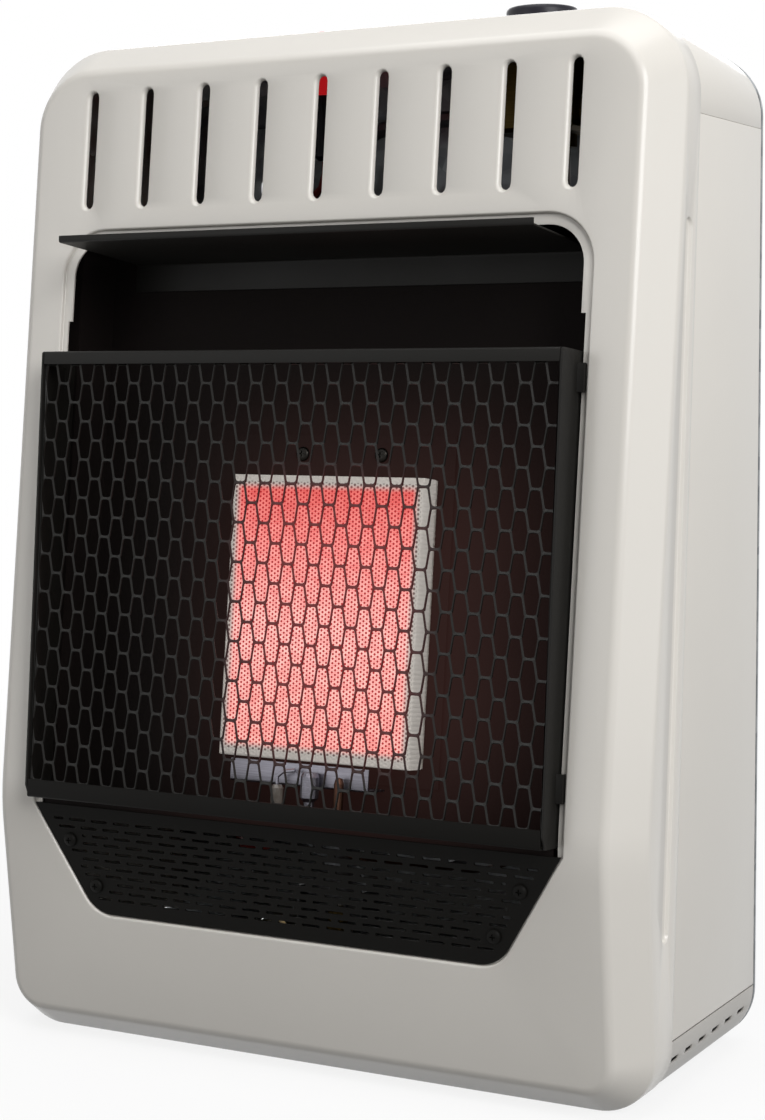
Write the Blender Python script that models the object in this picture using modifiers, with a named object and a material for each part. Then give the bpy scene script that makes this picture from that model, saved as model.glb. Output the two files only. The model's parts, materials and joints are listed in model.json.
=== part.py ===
"""A ventless propane plaque heater, modelled as the separate pieces it is built from.

Metres, +Z up, the front faces -Y. The origin is at the middle of the base of the whole heater.
Inside the file every piece is placed in one of four frames, each an empty:
  cabinet_frame  upright, y = 0 where the front cover's crease stands foremost
  upper_frame    leans with the cover's upper face: y is depth behind that face, z is up the face
  lower_frame    leans with the cover's lower face in the same way
  guard_frame    leans with the mesh guard: y is depth behind its front, z is up the guard
"""

import math

import bmesh
import bpy
from mathutils import Matrix, Vector

MM = 0.001

# Cabinet
WIDTH = 356 * MM
HEIGHT = 499.2 * MM
REAR_Y = 165 * MM
SHEET = 1.0 * MM
GAP = 0.3 * MM
TOP_R = 41 * MM
BOTTOM_R = 28 * MM
CORNER_STEPS = 6

# Front cover
CREASE_Z = 121.4 * MM
LEAN_UP = math.radians(7.16)
LEAN_DOWN = math.radians(5.2)
BEVEL_WIDTH = 13.4 * MM
BEVEL_DEPTH = 19.2 * MM
SEAM_FOOT_Y = 47.2 * MM
SEAM_LEAN = math.radians(3.75)
LAP = 3 * MM
SLOT_COUNT = 9
SLOT_PITCH = 33 * MM
SLOT_WIDTH = 4.8 * MM
SLOT_SETDOWN = 82 * MM
SLOT_LOW_Z = HEIGHT - SLOT_SETDOWN
SLOT_LENGTH = 58 * MM
GRIP_LOW_Z = 78 * MM
GRIP_SETDOWN = 95.2 * MM
GRIP_HIGH_Z = HEIGHT - GRIP_SETDOWN
GRIP_WIDTH = 8.4 * MM
GRIP_DEPTH = 1.7 * MM
GRIP_FLOOR = 0.6 * MM
GRIP_LOW_SETBACK = 13.2 * MM
GRIP_HIGH_SETBACK = 9.4 * MM

# Opening in the front cover
OPENING_SIDE = 33.6 * MM
OPENING_HALF = WIDTH / 2 - OPENING_SIDE
OPENING_SETDOWN = 93.2 * MM
OPENING_TOP_Z = HEIGHT - OPENING_SETDOWN
OPENING_RISE = (OPENING_TOP_Z - CREASE_Z) / math.cos(LEAN_UP)
OPENING_R = 23 * MM
OPENING_FOOT_Z = 66.8 * MM
OPENING_SLANT = 33 * MM
OPENING_FOOT_HALF = OPENING_HALF - OPENING_SLANT
OPENING_FOOT_R = 18 * MM
LEDGE_DEPTH = 2.4 * MM
LEDGE_WIDTH = 5.1 * MM

# Body panels behind the cover
SHOULDER_FALL = 7.2 * MM
SHOULDER_Z = HEIGHT - TOP_R - SHOULDER_FALL
BASE_Z = 29.5 * MM
TOP_DROP = 7 * MM
REAR_FLANGE = 12 * MM
BASE_SLIT_COUNT = 6
BASE_SLIT_PITCH = 17.7 * MM
BASE_SLIT_FIRST_Y = 54 * MM
BASE_SLIT_LENGTH = 9 * MM
BASE_SLIT_HEIGHT = 2.6 * MM
BASE_SLIT_Z = 19.7 * MM
HANGER_INSET = 83 * MM
HANGER_X = WIDTH / 2 - HANGER_INSET
HANGER_SETDOWN = 69.2 * MM
HANGER_Z = HEIGHT - HANGER_SETDOWN
HANGER_WIDTH = 26 * MM
HANGER_HEIGHT = 9 * MM
REAR_VENT_COUNT = 9
REAR_VENT_PITCH = 24 * MM
REAR_VENT_WIDTH = 5 * MM
REAR_VENT_LENGTH = 60 * MM
REAR_VENT_LOW_Z = 88 * MM

# Guard
GUARD_Y = -11.7 * MM
GUARD_Z = 126.6 * MM
GUARD_LEAN = math.radians(5.48)
GUARD_SIDE = 3.6 * MM
GUARD_HALF = OPENING_HALF - GUARD_SIDE
GUARD_SETDOWN = 66.3 * MM
GUARD_HEIGHT = OPENING_RISE - GUARD_SETDOWN
GUARD_SHEET = 1.0 * MM
TOP_RAIL = 6.4 * MM
BOTTOM_RAIL = 9 * MM
RAIL_RETURN = 6 * MM
GUARD_FOOT_DEPTH = 20 * MM
GUARD_HEAD_DEPTH = 26.5 * MM
GUARD_CHAMFER = 6 * MM
NET_PITCH = 21.4 * MM
NET_RISE = 27.2 * MM
NET_BOND = 6.8 * MM
NET_STRAND = 1.5 * MM
NET_BORDER = 1.4 * MM
LOW_TAB_Z = 20 * MM
HIGH_TAB_SETDOWN = 18.5 * MM
HIGH_TAB_Z = GUARD_HEIGHT - HIGH_TAB_SETDOWN
TAB_HEIGHT = 13 * MM
TAB_DEPTH = 3 * MM
LOW_TAB_DEPTH = 11.5 * MM
HIGH_TAB_DEPTH = 16.5 * MM
SEAT_CLEAR = 0.7 * MM
SEAT_FOOTROOM = 7.2 * MM
SEAT_HEADROOM = 14 * MM
SEAT_REACH = 60 * MM

# Firebox
FIREBOX_SIDE = 2.9 * MM
FIREBOX_HALF = OPENING_HALF - FIREBOX_SIDE
FIREBOX_FLOOR = 5 * MM
FIREBOX_HEADROOM = 1.2 * MM
FIREBOX_TOP = OPENING_RISE + FIREBOX_HEADROOM
FIREBOX_MOUTH = 12.3 * MM
FIREBOX_BACK = 40.7 * MM
FIREBOX_FLANGE = 8 * MM
SILL_SIDE = 5.2 * MM
SILL_HALF = OPENING_HALF - SILL_SIDE
SILL_FRONT = 2.8 * MM
SILL_LAP = 2.5 * MM
SILL_LIP = 6.5 * MM
BRACKET_LOW = 20 * MM
BRACKET_SETDOWN = 18 * MM
BRACKET_HIGH = FIREBOX_TOP - BRACKET_SETDOWN
BRACKET_DEPTH = 30 * MM
BRACKET_FLANGE_IN = 12 * MM
BRACKET_FLANGE_OUT = 28 * MM

# Hood
HOOD_SIDE = 16.7 * MM
HOOD_HALF = OPENING_HALF - HOOD_SIDE
HOOD_REACH = 28 * MM
HOOD_SETDOWN = 12.8 * MM
HOOD_HEIGHT = OPENING_RISE - HOOD_SETDOWN
HOOD_LIP = 3.4 * MM
HOOD_FLANGE = 12 * MM

# Lower grille
GRILLE_DEPTH = 0.9 * MM
GRILLE_CLEAR = 0.6 * MM
GRILLE_ROWS = 6
GRILLE_ROW_PITCH = 7.6 * MM
GRILLE_SLOT = 14 * MM
GRILLE_SLOT_HEIGHT = 3.4 * MM
GRILLE_SLOT_PITCH = 20 * MM
GRILLE_MARGIN = 5 * MM
GRILLE_SCREW_SIDE = 20.9 * MM
GRILLE_SCREW_SHIFT = 14 * MM
GRILLE_SCREW_LOW = 17.5 * MM
GRILLE_SCREW_STEP = 22.5 * MM
GRILLE_SCREWS = ((OPENING_HALF - GRILLE_SCREW_SIDE, -GRILLE_SCREW_LOW),
                 (OPENING_HALF - GRILLE_SCREW_SIDE - GRILLE_SCREW_SHIFT,
                  -GRILLE_SCREW_LOW - GRILLE_SCREW_STEP))

# Burner
PLAQUE_HALF = 53 * MM
PLAQUE_LOW = 30.6 * MM
PLAQUE_HIGH = 168.5 * MM
PLAQUE_FRONT = 25.5 * MM
PLAQUE_THICK = 13 * MM
GASKET_BAND = 8 * MM
FRAME_CLEAR = 0.5 * MM
FRAME_BAND = 9 * MM
FRAME_TOP_BAND = 21 * MM
FRAME_SCREW_X = 22 * MM
FRAME_SCREW_RISE = 11.5 * MM
BOX_DEPTH = 34 * MM
BOX_FLANGE = 9 * MM
BOX_TOP_FLANGE = 20 * MM
BOX_INSET = 3 * MM
VENTURI_V = 60 * MM
VENTURI_R = 11.5 * MM
VENTURI_THROAT = 9 * MM
VENTURI_WALL = 1.2 * MM
VENTURI_COLLAR_R = 15 * MM
VENTURI_BELL_R = 17 * MM
VENTURI_BELL_W = -35 * MM
INJECTOR_TIP_W = -41 * MM
INJECTOR_SEAT_W = -57 * MM
INJECTOR_FOOT_W = -68 * MM
INJECTOR_R = 5 * MM
INJECTOR_HEX_R = 8 * MM
HOLDER_SHEET = 1.2 * MM
HOLDER_HALF_DEPTH = 9 * MM

# Pilot
PILOT_V = 18.5 * MM
PILOT_PLATE_V = 23.3 * MM
PILOT_LEFT = -44 * MM
PILOT_RIGHT = 33 * MM
PILOT_TOP = 29.5 * MM
PILOT_LOW = 18.5 * MM
PILOT_X = 4 * MM
ELECTRODE_X = -14 * MM
THERMOCOUPLE_X = 20 * MM
PILOT_HOOD_R = 4.5 * MM
PILOT_STEM_R = 2.6 * MM
INSULATOR_R = 3 * MM
THERMOCOUPLE_R = 2.4 * MM
FLOOR_HOLE_CLEAR = 0.4 * MM

# Controls on the top, their heights counted from the cabinet's height
SHELF_SETDOWN = 13.2 * MM
SHELF_Z = HEIGHT - SHELF_SETDOWN
SHELF_SIDE = 60 * MM
SHELF_HALF = WIDTH / 2 - SHELF_SIDE
SHELF_DEPTH = 59 * MM
SHELF_FRONT_Y = REAR_Y - SHELF_DEPTH
SHELF_LIP = 10 * MM
SHELF_LIP_RIGHT = 12 * MM
SHELF_REAR_FLANGE = 20 * MM
KNOB_SIDE = 98 * MM
KNOB_X = WIDTH / 2 - KNOB_SIDE
KNOB_BACK = 45 * MM
KNOB_Y = REAR_Y - KNOB_BACK
KNOB_R = 17.5 * MM
KNOB_HEIGHT = 11 * MM
KNOB_PROUD = 10.8 * MM
KNOB_TOP_Z = HEIGHT + KNOB_PROUD
KNOB_FOOT_Z = KNOB_TOP_Z - KNOB_HEIGHT
KNOB_RIM = 3 * MM
KNOB_DISH = 4.5 * MM
KNOB_BAR = 8 * MM
STEM_R = 3 * MM
STEM_LENGTH = 35 * MM
STEM_COVER = 5 * MM
STEM_TOP_Z = KNOB_TOP_Z - STEM_COVER
STEM_FOOT_Z = STEM_TOP_Z - STEM_LENGTH
PLUG_R = 5.5 * MM
PLUG_SETDOWN = 9.2 * MM
PLUG_LENGTH = 21.7 * MM
PLUG_TOP_Z = HEIGHT - PLUG_SETDOWN
PLUG_FOOT_Z = PLUG_TOP_Z - PLUG_LENGTH
PLUG_CLEAR = 1.5 * MM
VALVE_HALF_X = 23 * MM
VALVE_HALF_Y = 17 * MM
VALVE_HEIGHT = 34.7 * MM
VALVE_TOP_Z = SHELF_Z - SHEET - GAP
VALVE_FOOT_Z = VALVE_TOP_Z - VALVE_HEIGHT
VALVE_BORE_FLOOR = 16 * MM
VALVE_BORE_Z = VALVE_FOOT_Z + VALVE_BORE_FLOOR
VALVE_PORT_RISE = 10 * MM
VALVE_PORT_Z = VALVE_FOOT_Z + VALVE_PORT_RISE
VALVE_PORT_R = 9 * MM
VALVE_PORT_LENGTH = 10 * MM
VALVE_TAP_R = 4.5 * MM
VALVE_TAP_LENGTH = 6 * MM
VALVE_TAP_X = 10 * MM
VALVE_TAP_Y = 8 * MM
IGNITER_SPACING = 107 * MM
IGNITER_X = KNOB_X - IGNITER_SPACING
IGNITER_BACK = 71 * MM
IGNITER_Y = REAR_Y - IGNITER_BACK
IGNITER_FLANGE_R = 9 * MM
IGNITER_FLANGE_SETDOWN = 1.8 * MM
IGNITER_FLANGE_Z = HEIGHT - IGNITER_FLANGE_SETDOWN
IGNITER_FLANGE = 2 * MM
IGNITER_R = 5.7 * MM
IGNITER_LENGTH = 57.4 * MM
IGNITER_FOOT_Z = IGNITER_FLANGE_Z - IGNITER_LENGTH
IGNITER_BORE = 22.4 * MM
IGNITER_BORE_Z = IGNITER_FLANGE_Z - IGNITER_BORE
BUTTON_R = 4.4 * MM
BUTTON_PROUD = 4 * MM
BUTTON_LENGTH = 24 * MM
NUT_R = 8.6 * MM
NUT_SETDOWN = 4.7 * MM
NUT_LENGTH = 22.5 * MM
NUT_TOP_Z = HEIGHT - NUT_SETDOWN
NUT_FOOT_Z = NUT_TOP_Z - NUT_LENGTH

# Gas supply at the bottom
REGULATOR_SIDE = 73 * MM
REGULATOR_X = REGULATOR_SIDE - WIDTH / 2
REGULATOR_BACK = 47 * MM
REGULATOR_Y = REAR_Y - REGULATOR_BACK
REGULATOR_FOOT_Z = 17 * MM
REGULATOR_R = 26 * MM
REGULATOR_HEIGHT = 12 * MM
REGULATOR_PORT_R = 8 * MM
REGULATOR_PORT = 5 * MM
CAP_R = 21 * MM
CAP_HEIGHT = 9 * MM
STAND_HALF = 23 * MM
STAND_HALF_DEPTH = 13 * MM
STAND_SHEET = 1.2 * MM
INLET_R = 9 * MM
INLET_HOLE_CLEAR = 1.2 * MM
INLET_PROUD = 1.5 * MM

# Tubes and leads
GAS_TUBE_R = 4 * MM
PILOT_TUBE_R = 2 * MM
THERMOCOUPLE_LEAD_R = 1.3 * MM
TUBE_BEND = 14 * MM
TUBE_END = 5 * MM
SUPPLY_BACK = 22 * MM
IGNITER_LEAD_R = 1.8 * MM

# Screws
SCREW_HEAD_R = 3.6 * MM
SCREW_HEAD = 1.8 * MM
SCREW_R = 1.7 * MM
SCREW_HOLE_CLEAR = 0.35 * MM
REAR_SCREW_LENGTH = 7 * MM
SHORT_SCREW_LENGTH = 5 * MM
REAR_SCREW_LOW = 70.5 * MM
REAR_SCREW_HIGH = 71 * MM

ROUND_STEPS = 18
TUBE_STEPS = 3
SCREW_STEPS = 10
WELD = 0.00002

FINISHES = {
    "cream_enamel": ((0.600, 0.565, 0.520), 0.32, 0.0),
    "black_enamel": ((0.022, 0.021, 0.019), 0.38, 0.0),
    "firebox_black": ((0.030, 0.024, 0.021), 0.60, 0.0),
    "galvanised_steel": ((0.42, 0.43, 0.44), 0.45, 0.9),
    "stainless_steel": ((0.62, 0.62, 0.63), 0.22, 1.0),
    "aluminium": ((0.70, 0.70, 0.71), 0.35, 1.0),
    "brass": ((0.66, 0.49, 0.20), 0.30, 1.0),
    "glowing_ceramic": ((0.86, 0.20, 0.17), 0.80, 0.0),
    "white_fibre": ((0.78, 0.76, 0.72), 0.95, 0.0),
    "white_porcelain": ((0.85, 0.84, 0.80), 0.20, 0.0),
    "black_plastic": ((0.018, 0.017, 0.024), 0.28, 0.0),
    "red_plastic": ((0.62, 0.02, 0.02), 0.35, 0.0),
    "red_silicone": ((0.50, 0.03, 0.03), 0.55, 0.0),
    "copper": ((0.72, 0.38, 0.26), 0.35, 1.0),
    "zinc_screw": ((0.50, 0.50, 0.51), 0.35, 1.0),
}


def half_width():
    """Half the width of the body panels, which sit just inside the cover's flange."""
    return WIDTH / 2 - SHEET - GAP


def rear_inner_y():
    """The back of the body panels' rear flanges, just in front of the rear panel."""
    return REAR_Y - SHEET - GAP


def overall_front_y():
    return HOOD_TIP_Y if HOOD_TIP_Y < GUARD_Y else GUARD_Y


def face_y(z):
    """The front of the cover at a height, between its bevels."""
    if z >= CREASE_Z:
        return (z - CREASE_Z) * math.tan(LEAN_UP)
    return (CREASE_Z - z) * math.tan(LEAN_DOWN)


def seam_y(z):
    """Where the cover's flange ends over the body panels."""
    return SEAM_FOOT_Y + z * math.tan(SEAM_LEAN)


def upper_point(x, v, w):
    """A point of the upper frame in the cabinet frame."""
    return Vector((x, w * math.sin(LEAN_UP) + v * math.cos(LEAN_UP),
                   CREASE_Z + w * math.cos(LEAN_UP) - v * math.sin(LEAN_UP)))


HOOD_TIP_Y = upper_point(0, -HOOD_REACH, HOOD_HEIGHT).y


def make_collection(name):
    collection = bpy.data.collections.new(name)
    bpy.context.scene.collection.children.link(collection)
    return collection


def make_frame(name, parts, parent, y=0.0, z=0.0, lean=0.0):
    """An empty that pieces are placed in, turned about X by a lean."""
    empty = bpy.data.objects.new(name, None)
    empty.empty_display_size = 20 * MM
    parts.objects.link(empty)
    empty.parent = parent
    empty.location = (0, y, z)
    empty.rotation_euler = (lean, 0, 0)
    return empty


def make_material(name, finish):
    colour, roughness, metallic = FINISHES[finish]
    material = bpy.data.materials.new(name + "_" + finish)
    material.use_nodes = True
    shader = material.node_tree.nodes["Principled BSDF"]
    shader.inputs["Base Color"].default_value = (*colour, 1)
    shader.inputs["Roughness"].default_value = roughness
    shader.inputs["Metallic"].default_value = metallic
    if finish == "glowing_ceramic":
        shader.inputs["Emission Color"].default_value = (*colour, 1)
        shader.inputs["Emission Strength"].default_value = 0.6
    material.diffuse_color = (*colour, 1)
    return material


def turn_towards(direction):
    return Vector(direction).to_track_quat("Z", "Y").to_euler()


class Workshop:
    """Makes pieces and cutters in their collections."""

    def __init__(self):
        self.parts = make_collection("ventless_propane_heater")
        self.cutters = make_collection("cutters")
        shift = -(overall_front_y() + REAR_Y + GAP + SCREW_HEAD) / 2
        self.cabinet = make_frame("cabinet_frame", self.parts, None, y=shift)
        self.upper = make_frame("upper_frame", self.parts, self.cabinet, z=CREASE_Z, lean=-LEAN_UP)
        self.lower = make_frame("lower_frame", self.parts, self.cabinet, z=CREASE_Z, lean=LEAN_DOWN)
        self.guard = make_frame("guard_frame", self.parts, self.cabinet, y=GUARD_Y, z=GUARD_Z,
                                lean=-GUARD_LEAN)

    def piece(self, name, data, finish, frame, place=(0, 0, 0), direction=None):
        """A piece of the heater, with its own material."""
        obj = bpy.data.objects.new(name, data)
        self.parts.objects.link(obj)
        obj.parent = frame
        obj.location = place
        if direction:
            obj.rotation_euler = turn_towards(direction)
        data.materials.append(make_material(name, finish))
        return obj

    def cutter(self, name, data, frame, place=(0, 0, 0), direction=None):
        """A helper shape that is cut from a piece or joined to it, and is never drawn."""
        obj = bpy.data.objects.new(name, data)
        self.cutters.objects.link(obj)
        obj.parent = frame
        obj.location = place
        if direction:
            obj.rotation_euler = turn_towards(direction)
        obj.hide_render = True
        obj.display_type = "WIRE"
        return obj


def cut(obj, other):
    boolean(obj, other, "DIFFERENCE")


def join(obj, other):
    boolean(obj, other, "UNION")


def boolean(obj, other, operation):
    step = obj.modifiers.new(operation.lower() + "_" + other.name, "BOOLEAN")
    step.operation = operation
    step.solver = "EXACT"
    step.object = other


def give_wall(obj, thickness=SHEET):
    """Turns an open surface into sheet metal, on the side away from its normals."""
    wall = obj.modifiers.new("wall", "SOLIDIFY")
    wall.thickness = thickness
    wall.offset = -1
    wall.use_even_offset = True
    wall.use_quality_normals = True
    return obj


def mesh_from(bm, name, smooth=False):
    mesh = bpy.data.meshes.new(name)
    bm.to_mesh(mesh)
    bm.free()
    if smooth:
        mesh.shade_smooth()
        mesh.set_sharp_from_angle(angle=math.radians(35))
    return mesh


def box_mesh(name, low, high):
    """A box between two corners."""
    bm = bmesh.new()
    bmesh.ops.create_cube(bm, size=1)
    size = [b - a for a, b in zip(low, high)]
    middle = [(a + b) / 2 for a, b in zip(low, high)]
    bmesh.ops.scale(bm, vec=size, verts=bm.verts)
    bmesh.ops.translate(bm, vec=middle, verts=bm.verts)
    return mesh_from(bm, name)


def boxes_mesh(name, corners):
    """Several boxes in one cutter."""
    bm = bmesh.new()
    for low, high in corners:
        made = bmesh.ops.create_cube(bm, size=1)["verts"]
        bmesh.ops.scale(bm, vec=[b - a for a, b in zip(low, high)], verts=made)
        bmesh.ops.translate(bm, vec=[(a + b) / 2 for a, b in zip(low, high)], verts=made)
    return mesh_from(bm, name)


def rods_mesh(name, radius, length, places, direction, steps=SCREW_STEPS):
    """Several round rods in one cutter, each centred on its place."""
    bm = bmesh.new()
    turn = Vector(direction).to_track_quat("Z", "Y").to_matrix().to_4x4()
    for place in places:
        bmesh.ops.create_cone(bm, cap_ends=True, segments=steps, radius1=radius, radius2=radius,
                              depth=length, matrix=Matrix.Translation(place) @ turn)
    return mesh_from(bm, name)


def turned_mesh(name, profile, closed=False):
    """The half section of a turned shape, as (radius, height), down its outer side."""
    bm = bmesh.new()
    points = [bm.verts.new((radius, 0, height)) for radius, height in profile]
    for first, second in zip(points, points[1:]):
        bm.edges.new((first, second))
    if closed:
        bm.edges.new((points[-1], points[0]))
    return mesh_from(bm, name)


def turn_up(obj, steps=ROUND_STEPS):
    """Spins a half section about the object's Z axis."""
    screw = obj.modifiers.new("turned", "SCREW")
    screw.steps = steps
    screw.render_steps = steps
    screw.use_merge_vertices = True
    screw.merge_threshold = 0.00001
    screw.use_smooth_shade = True
    return obj


def flat_mesh(name, outlines, thickness):
    """A flat sheet in XZ with its front at y = 0: the first outline is its edge, the rest its holes."""
    curve = bpy.data.curves.new(name, "CURVE")
    curve.dimensions = "2D"
    curve.fill_mode = "BOTH"
    curve.extrude = thickness / 2
    for outline in outlines:
        spline = curve.splines.new("POLY")
        spline.points.add(len(outline) - 1)
        for point, (x, z) in zip(spline.points, outline):
            point.co = (x, z, 0, 1)
        spline.use_cyclic_u = True
    sketch = bpy.data.objects.new(name + "_sketch", curve)
    bpy.context.scene.collection.objects.link(sketch)
    bpy.context.view_layer.update()
    graph = bpy.context.evaluated_depsgraph_get()
    mesh = bpy.data.meshes.new_from_object(sketch.evaluated_get(graph))
    mesh.transform(sketch.matrix_world)
    bpy.data.objects.remove(sketch)
    bpy.data.curves.remove(curve)
    bm = bmesh.new()
    bm.from_mesh(mesh)
    bpy.data.meshes.remove(mesh)
    bmesh.ops.remove_doubles(bm, verts=bm.verts, dist=WELD)
    upright = Matrix.Translation((0, thickness / 2, 0)) @ Matrix.Rotation(math.pi / 2, 4, "X")
    bmesh.ops.transform(bm, matrix=upright, verts=bm.verts)
    return mesh_from(bm, name)


def side_mesh(name, outline, thickness):
    """A flat sheet in YZ with its face at x = 0 and its thickness towards +X."""
    mesh = flat_mesh(name, [[(y, z) for y, z in outline]], thickness)
    mesh.transform(Matrix.Rotation(math.pi / 2, 4, "Z"))
    mesh.transform(Matrix.Translation((thickness, 0, 0)))
    return mesh


def tube_curve(name, points, radius, resolution=2):
    """A round tube or lead along points, with closed ends."""
    curve = bpy.data.curves.new(name, "CURVE")
    curve.dimensions = "3D"
    curve.bevel_depth = radius
    curve.bevel_resolution = resolution
    curve.use_fill_caps = True
    curve.twist_mode = "MINIMUM"
    spline = curve.splines.new("POLY")
    spline.points.add(len(points) - 1)
    for point, place in zip(spline.points, points):
        point.co = (*place, 1)
    return curve


def smooth_route(points, steps):
    """Points of a smooth curve through a tube's own points, its first and last spans straight."""
    points = [Vector(p) for p in points]
    last = len(points) - 1
    ways = [(points[min(i + 1, last)] - points[max(i - 1, 0)]).normalized() for i in range(last + 1)]
    ways[1] = ways[0]
    ways[-2] = ways[-1]
    route = [points[0]]
    for i in range(1, last - 1):
        span = (points[i + 1] - points[i]).length
        for j in range(steps):
            t = j / steps
            route.append(points[i] * (2 * t ** 3 - 3 * t * t + 1) + points[i + 1] * (3 * t * t - 2 * t ** 3)
                         + ways[i] * span * (t ** 3 - 2 * t * t + t)
                         + ways[i + 1] * span * (t ** 3 - t * t))
    return [*route, points[-2], points[-1]]


def arc(centre_x, centre_z, radius, start, end, steps=CORNER_STEPS):
    """Points (x, z) along an arc, with its angles in degrees."""
    angles = [math.radians(start + (end - start) * i / steps) for i in range(steps + 1)]
    return [(centre_x + radius * math.cos(a), centre_z + radius * math.sin(a)) for a in angles]


def mirrored(points):
    """The same points on the other side, in the order that carries an outline on."""
    return [(-x, z) for x, z in reversed(points)]


def rectangle(half, low, high):
    return [(half, low), (half, high), (-half, high), (-half, low)]


def capsule(x, low, high, width, steps=4):
    """An upright slot with round ends."""
    r = width / 2
    return arc(x, high - r, r, 0, 180, steps) + arc(x, low + r, r, 180, 360, steps)


def circle(x, z, radius, steps=SCREW_STEPS):
    return arc(x, z, radius, 0, 360 - 360 / steps, steps - 1)


def folded_strip(name, section, left, right):
    """A strip folded to one section of (y, z), its sheet left of the way along that section."""
    bm = bmesh.new()
    ends = [ring(bm, [(x, y, z) for y, z in section]) for x in (right, left)]
    loft(bm, ends[0], ends[1], closed=False)
    return mesh_from(bm, name)


def cabinet_outline(inset):
    """The cover's outline from the front, from the right end of the crease up and round."""
    half = WIDTH / 2 - inset
    top_r = TOP_R - inset
    foot_r = BOTTOM_R - inset
    head = arc(WIDTH / 2 - TOP_R, HEIGHT - TOP_R, top_r, 0, 90)
    foot = arc(WIDTH / 2 - BOTTOM_R, BOTTOM_R, foot_r, -90, 0)
    return [(half, CREASE_Z), *head, *mirrored(head), (-half, CREASE_Z), *mirrored(foot), *foot]


def opening_outline(inset=0.0):
    """The opening in the cover, from the right end of the crease up and round."""
    half = OPENING_HALF - inset
    head = arc(OPENING_HALF - OPENING_R, OPENING_TOP_Z - OPENING_R, OPENING_R - inset, 0, 90)
    foot = opening_foot(inset)
    return [(half, CREASE_Z), *head, *mirrored(head), (-half, CREASE_Z), *mirrored(foot), *foot]


def opening_foot(inset):
    """The right lower corner of the opening, where its slanted side meets its foot in an arc."""
    rise = CREASE_Z - OPENING_FOOT_Z
    slant = math.atan2(rise, OPENING_HALF - OPENING_FOOT_HALF)
    start = OPENING_FOOT_HALF - OPENING_FOOT_R * math.tan(slant / 2)
    end = math.degrees(slant) - 90
    return arc(start, OPENING_FOOT_Z + OPENING_FOOT_R, OPENING_FOOT_R - inset, -90, end)


def loft(bm, first, second, closed=True):
    """Joins two rings of points with faces that face left of the way from first to second."""
    count = len(first)
    for i in range(count if closed else count - 1):
        j = (i + 1) % count
        bm.faces.new((first[i], second[i], second[j], first[j]))


def ring(bm, points):
    return [bm.verts.new(point) for point in points]


def front_cover(shop):
    """The bowed and bevelled front cover, drawn from one sheet."""
    bm = bmesh.new()
    inner = cabinet_outline(BEVEL_WIDTH)
    outer = cabinet_outline(0.0)
    hole = opening_outline()
    face = ring(bm, [(x, face_y(z), z) for x, z in inner])
    edge = ring(bm, [(x, face_y(near[1]) + BEVEL_DEPTH, z) for near, (x, z) in zip(inner, outer)])
    seam = ring(bm, [(x, seam_y(z), z) for x, z in outer])
    rim = ring(bm, [(x, face_y(z), z) for x, z in hole])
    step = ring(bm, [(x, face_y(z) + LEDGE_DEPTH, z) for x, z in hole])
    ledge = ring(bm, [(x, face_y(z) + LEDGE_DEPTH, z) for x, z in opening_outline(LEDGE_WIDTH)])
    left = 2 * CORNER_STEPS + 3
    bm.faces.new(face[:left + 1] + rim[left::-1])
    bm.faces.new(face[left:] + [face[0], rim[0]] + rim[:left - 1:-1])
    loft(bm, face, edge)
    loft(bm, edge, seam)
    loft(bm, step, rim)
    loft(bm, ledge, step)
    cover = give_wall(shop.piece("front_cover", mesh_from(bm, "front_cover", True), "cream_enamel",
                                 shop.cabinet))
    reach = (-GRIP_DEPTH * 2, face_y(HEIGHT) + GRIP_DEPTH * 2)
    middle = (SLOT_COUNT - 1) / 2
    slots = [capsule((i - middle) * SLOT_PITCH, SLOT_LOW_Z, SLOT_LOW_Z + SLOT_LENGTH, SLOT_WIDTH)
             for i in range(SLOT_COUNT)]
    mesh = flat_mesh("vent_slots", slots, reach[1] - reach[0])
    cut(cover, shop.cutter("vent_slots", mesh, shop.cabinet, (0, reach[0], 0)))
    seat = GUARD_HALF + SEAT_CLEAR
    mesh = box_mesh("guard_seat", (-seat, -BEVEL_DEPTH, GUARD_Z - SEAT_FOOTROOM),
                    (seat, SEAT_REACH, GUARD_Z + GUARD_HEIGHT + SEAT_HEADROOM))
    cut(cover, shop.cutter("guard_seat", mesh, shop.cabinet))
    for side, name in ((1, "right"), (-1, "left")):
        outline, wider = (grip_outline(width) for width in (GRIP_WIDTH, GRIP_WIDTH + 2 * SHEET))
        pad_depth = GRIP_DEPTH + GRIP_FLOOR
        skin = WIDTH / 2 - SHEET / 2
        pad = side_mesh(f"grip_pad_{name}", wider, pad_depth)
        inner_x = side * WIDTH / 2 - (pad_depth if side > 0 else 0)
        pad.transform(Matrix.Diagonal(((skin - WIDTH / 2 + pad_depth) / pad_depth, 1, 1, 1)))
        shift = inner_x if side > 0 else -skin
        join(cover, shop.cutter(f"grip_pad_{name}", pad, shop.cabinet, (shift, 0, 0)))
        groove = side_mesh(f"grip_groove_{name}", outline, 2 * GRIP_DEPTH)
        cut(cover, shop.cutter(f"grip_groove_{name}", groove, shop.cabinet,
                               (side * WIDTH / 2 - GRIP_DEPTH, 0, 0)))


def grip_outline(width):
    """The finger grip in the cover's side flange, as (y, z)."""
    low = Vector((seam_y(GRIP_LOW_Z) - GRIP_LOW_SETBACK, GRIP_LOW_Z))
    high = Vector((seam_y(GRIP_HIGH_Z) - GRIP_HIGH_SETBACK, GRIP_HIGH_Z))
    lean = math.atan2(high.x - low.x, high.y - low.y)
    length = (high - low).length
    points = capsule(0, 0, length, width)
    return [(low.x + x * math.cos(lean) + z * math.sin(lean),
             low.y - x * math.sin(lean) + z * math.cos(lean)) for x, z in points]


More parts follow.
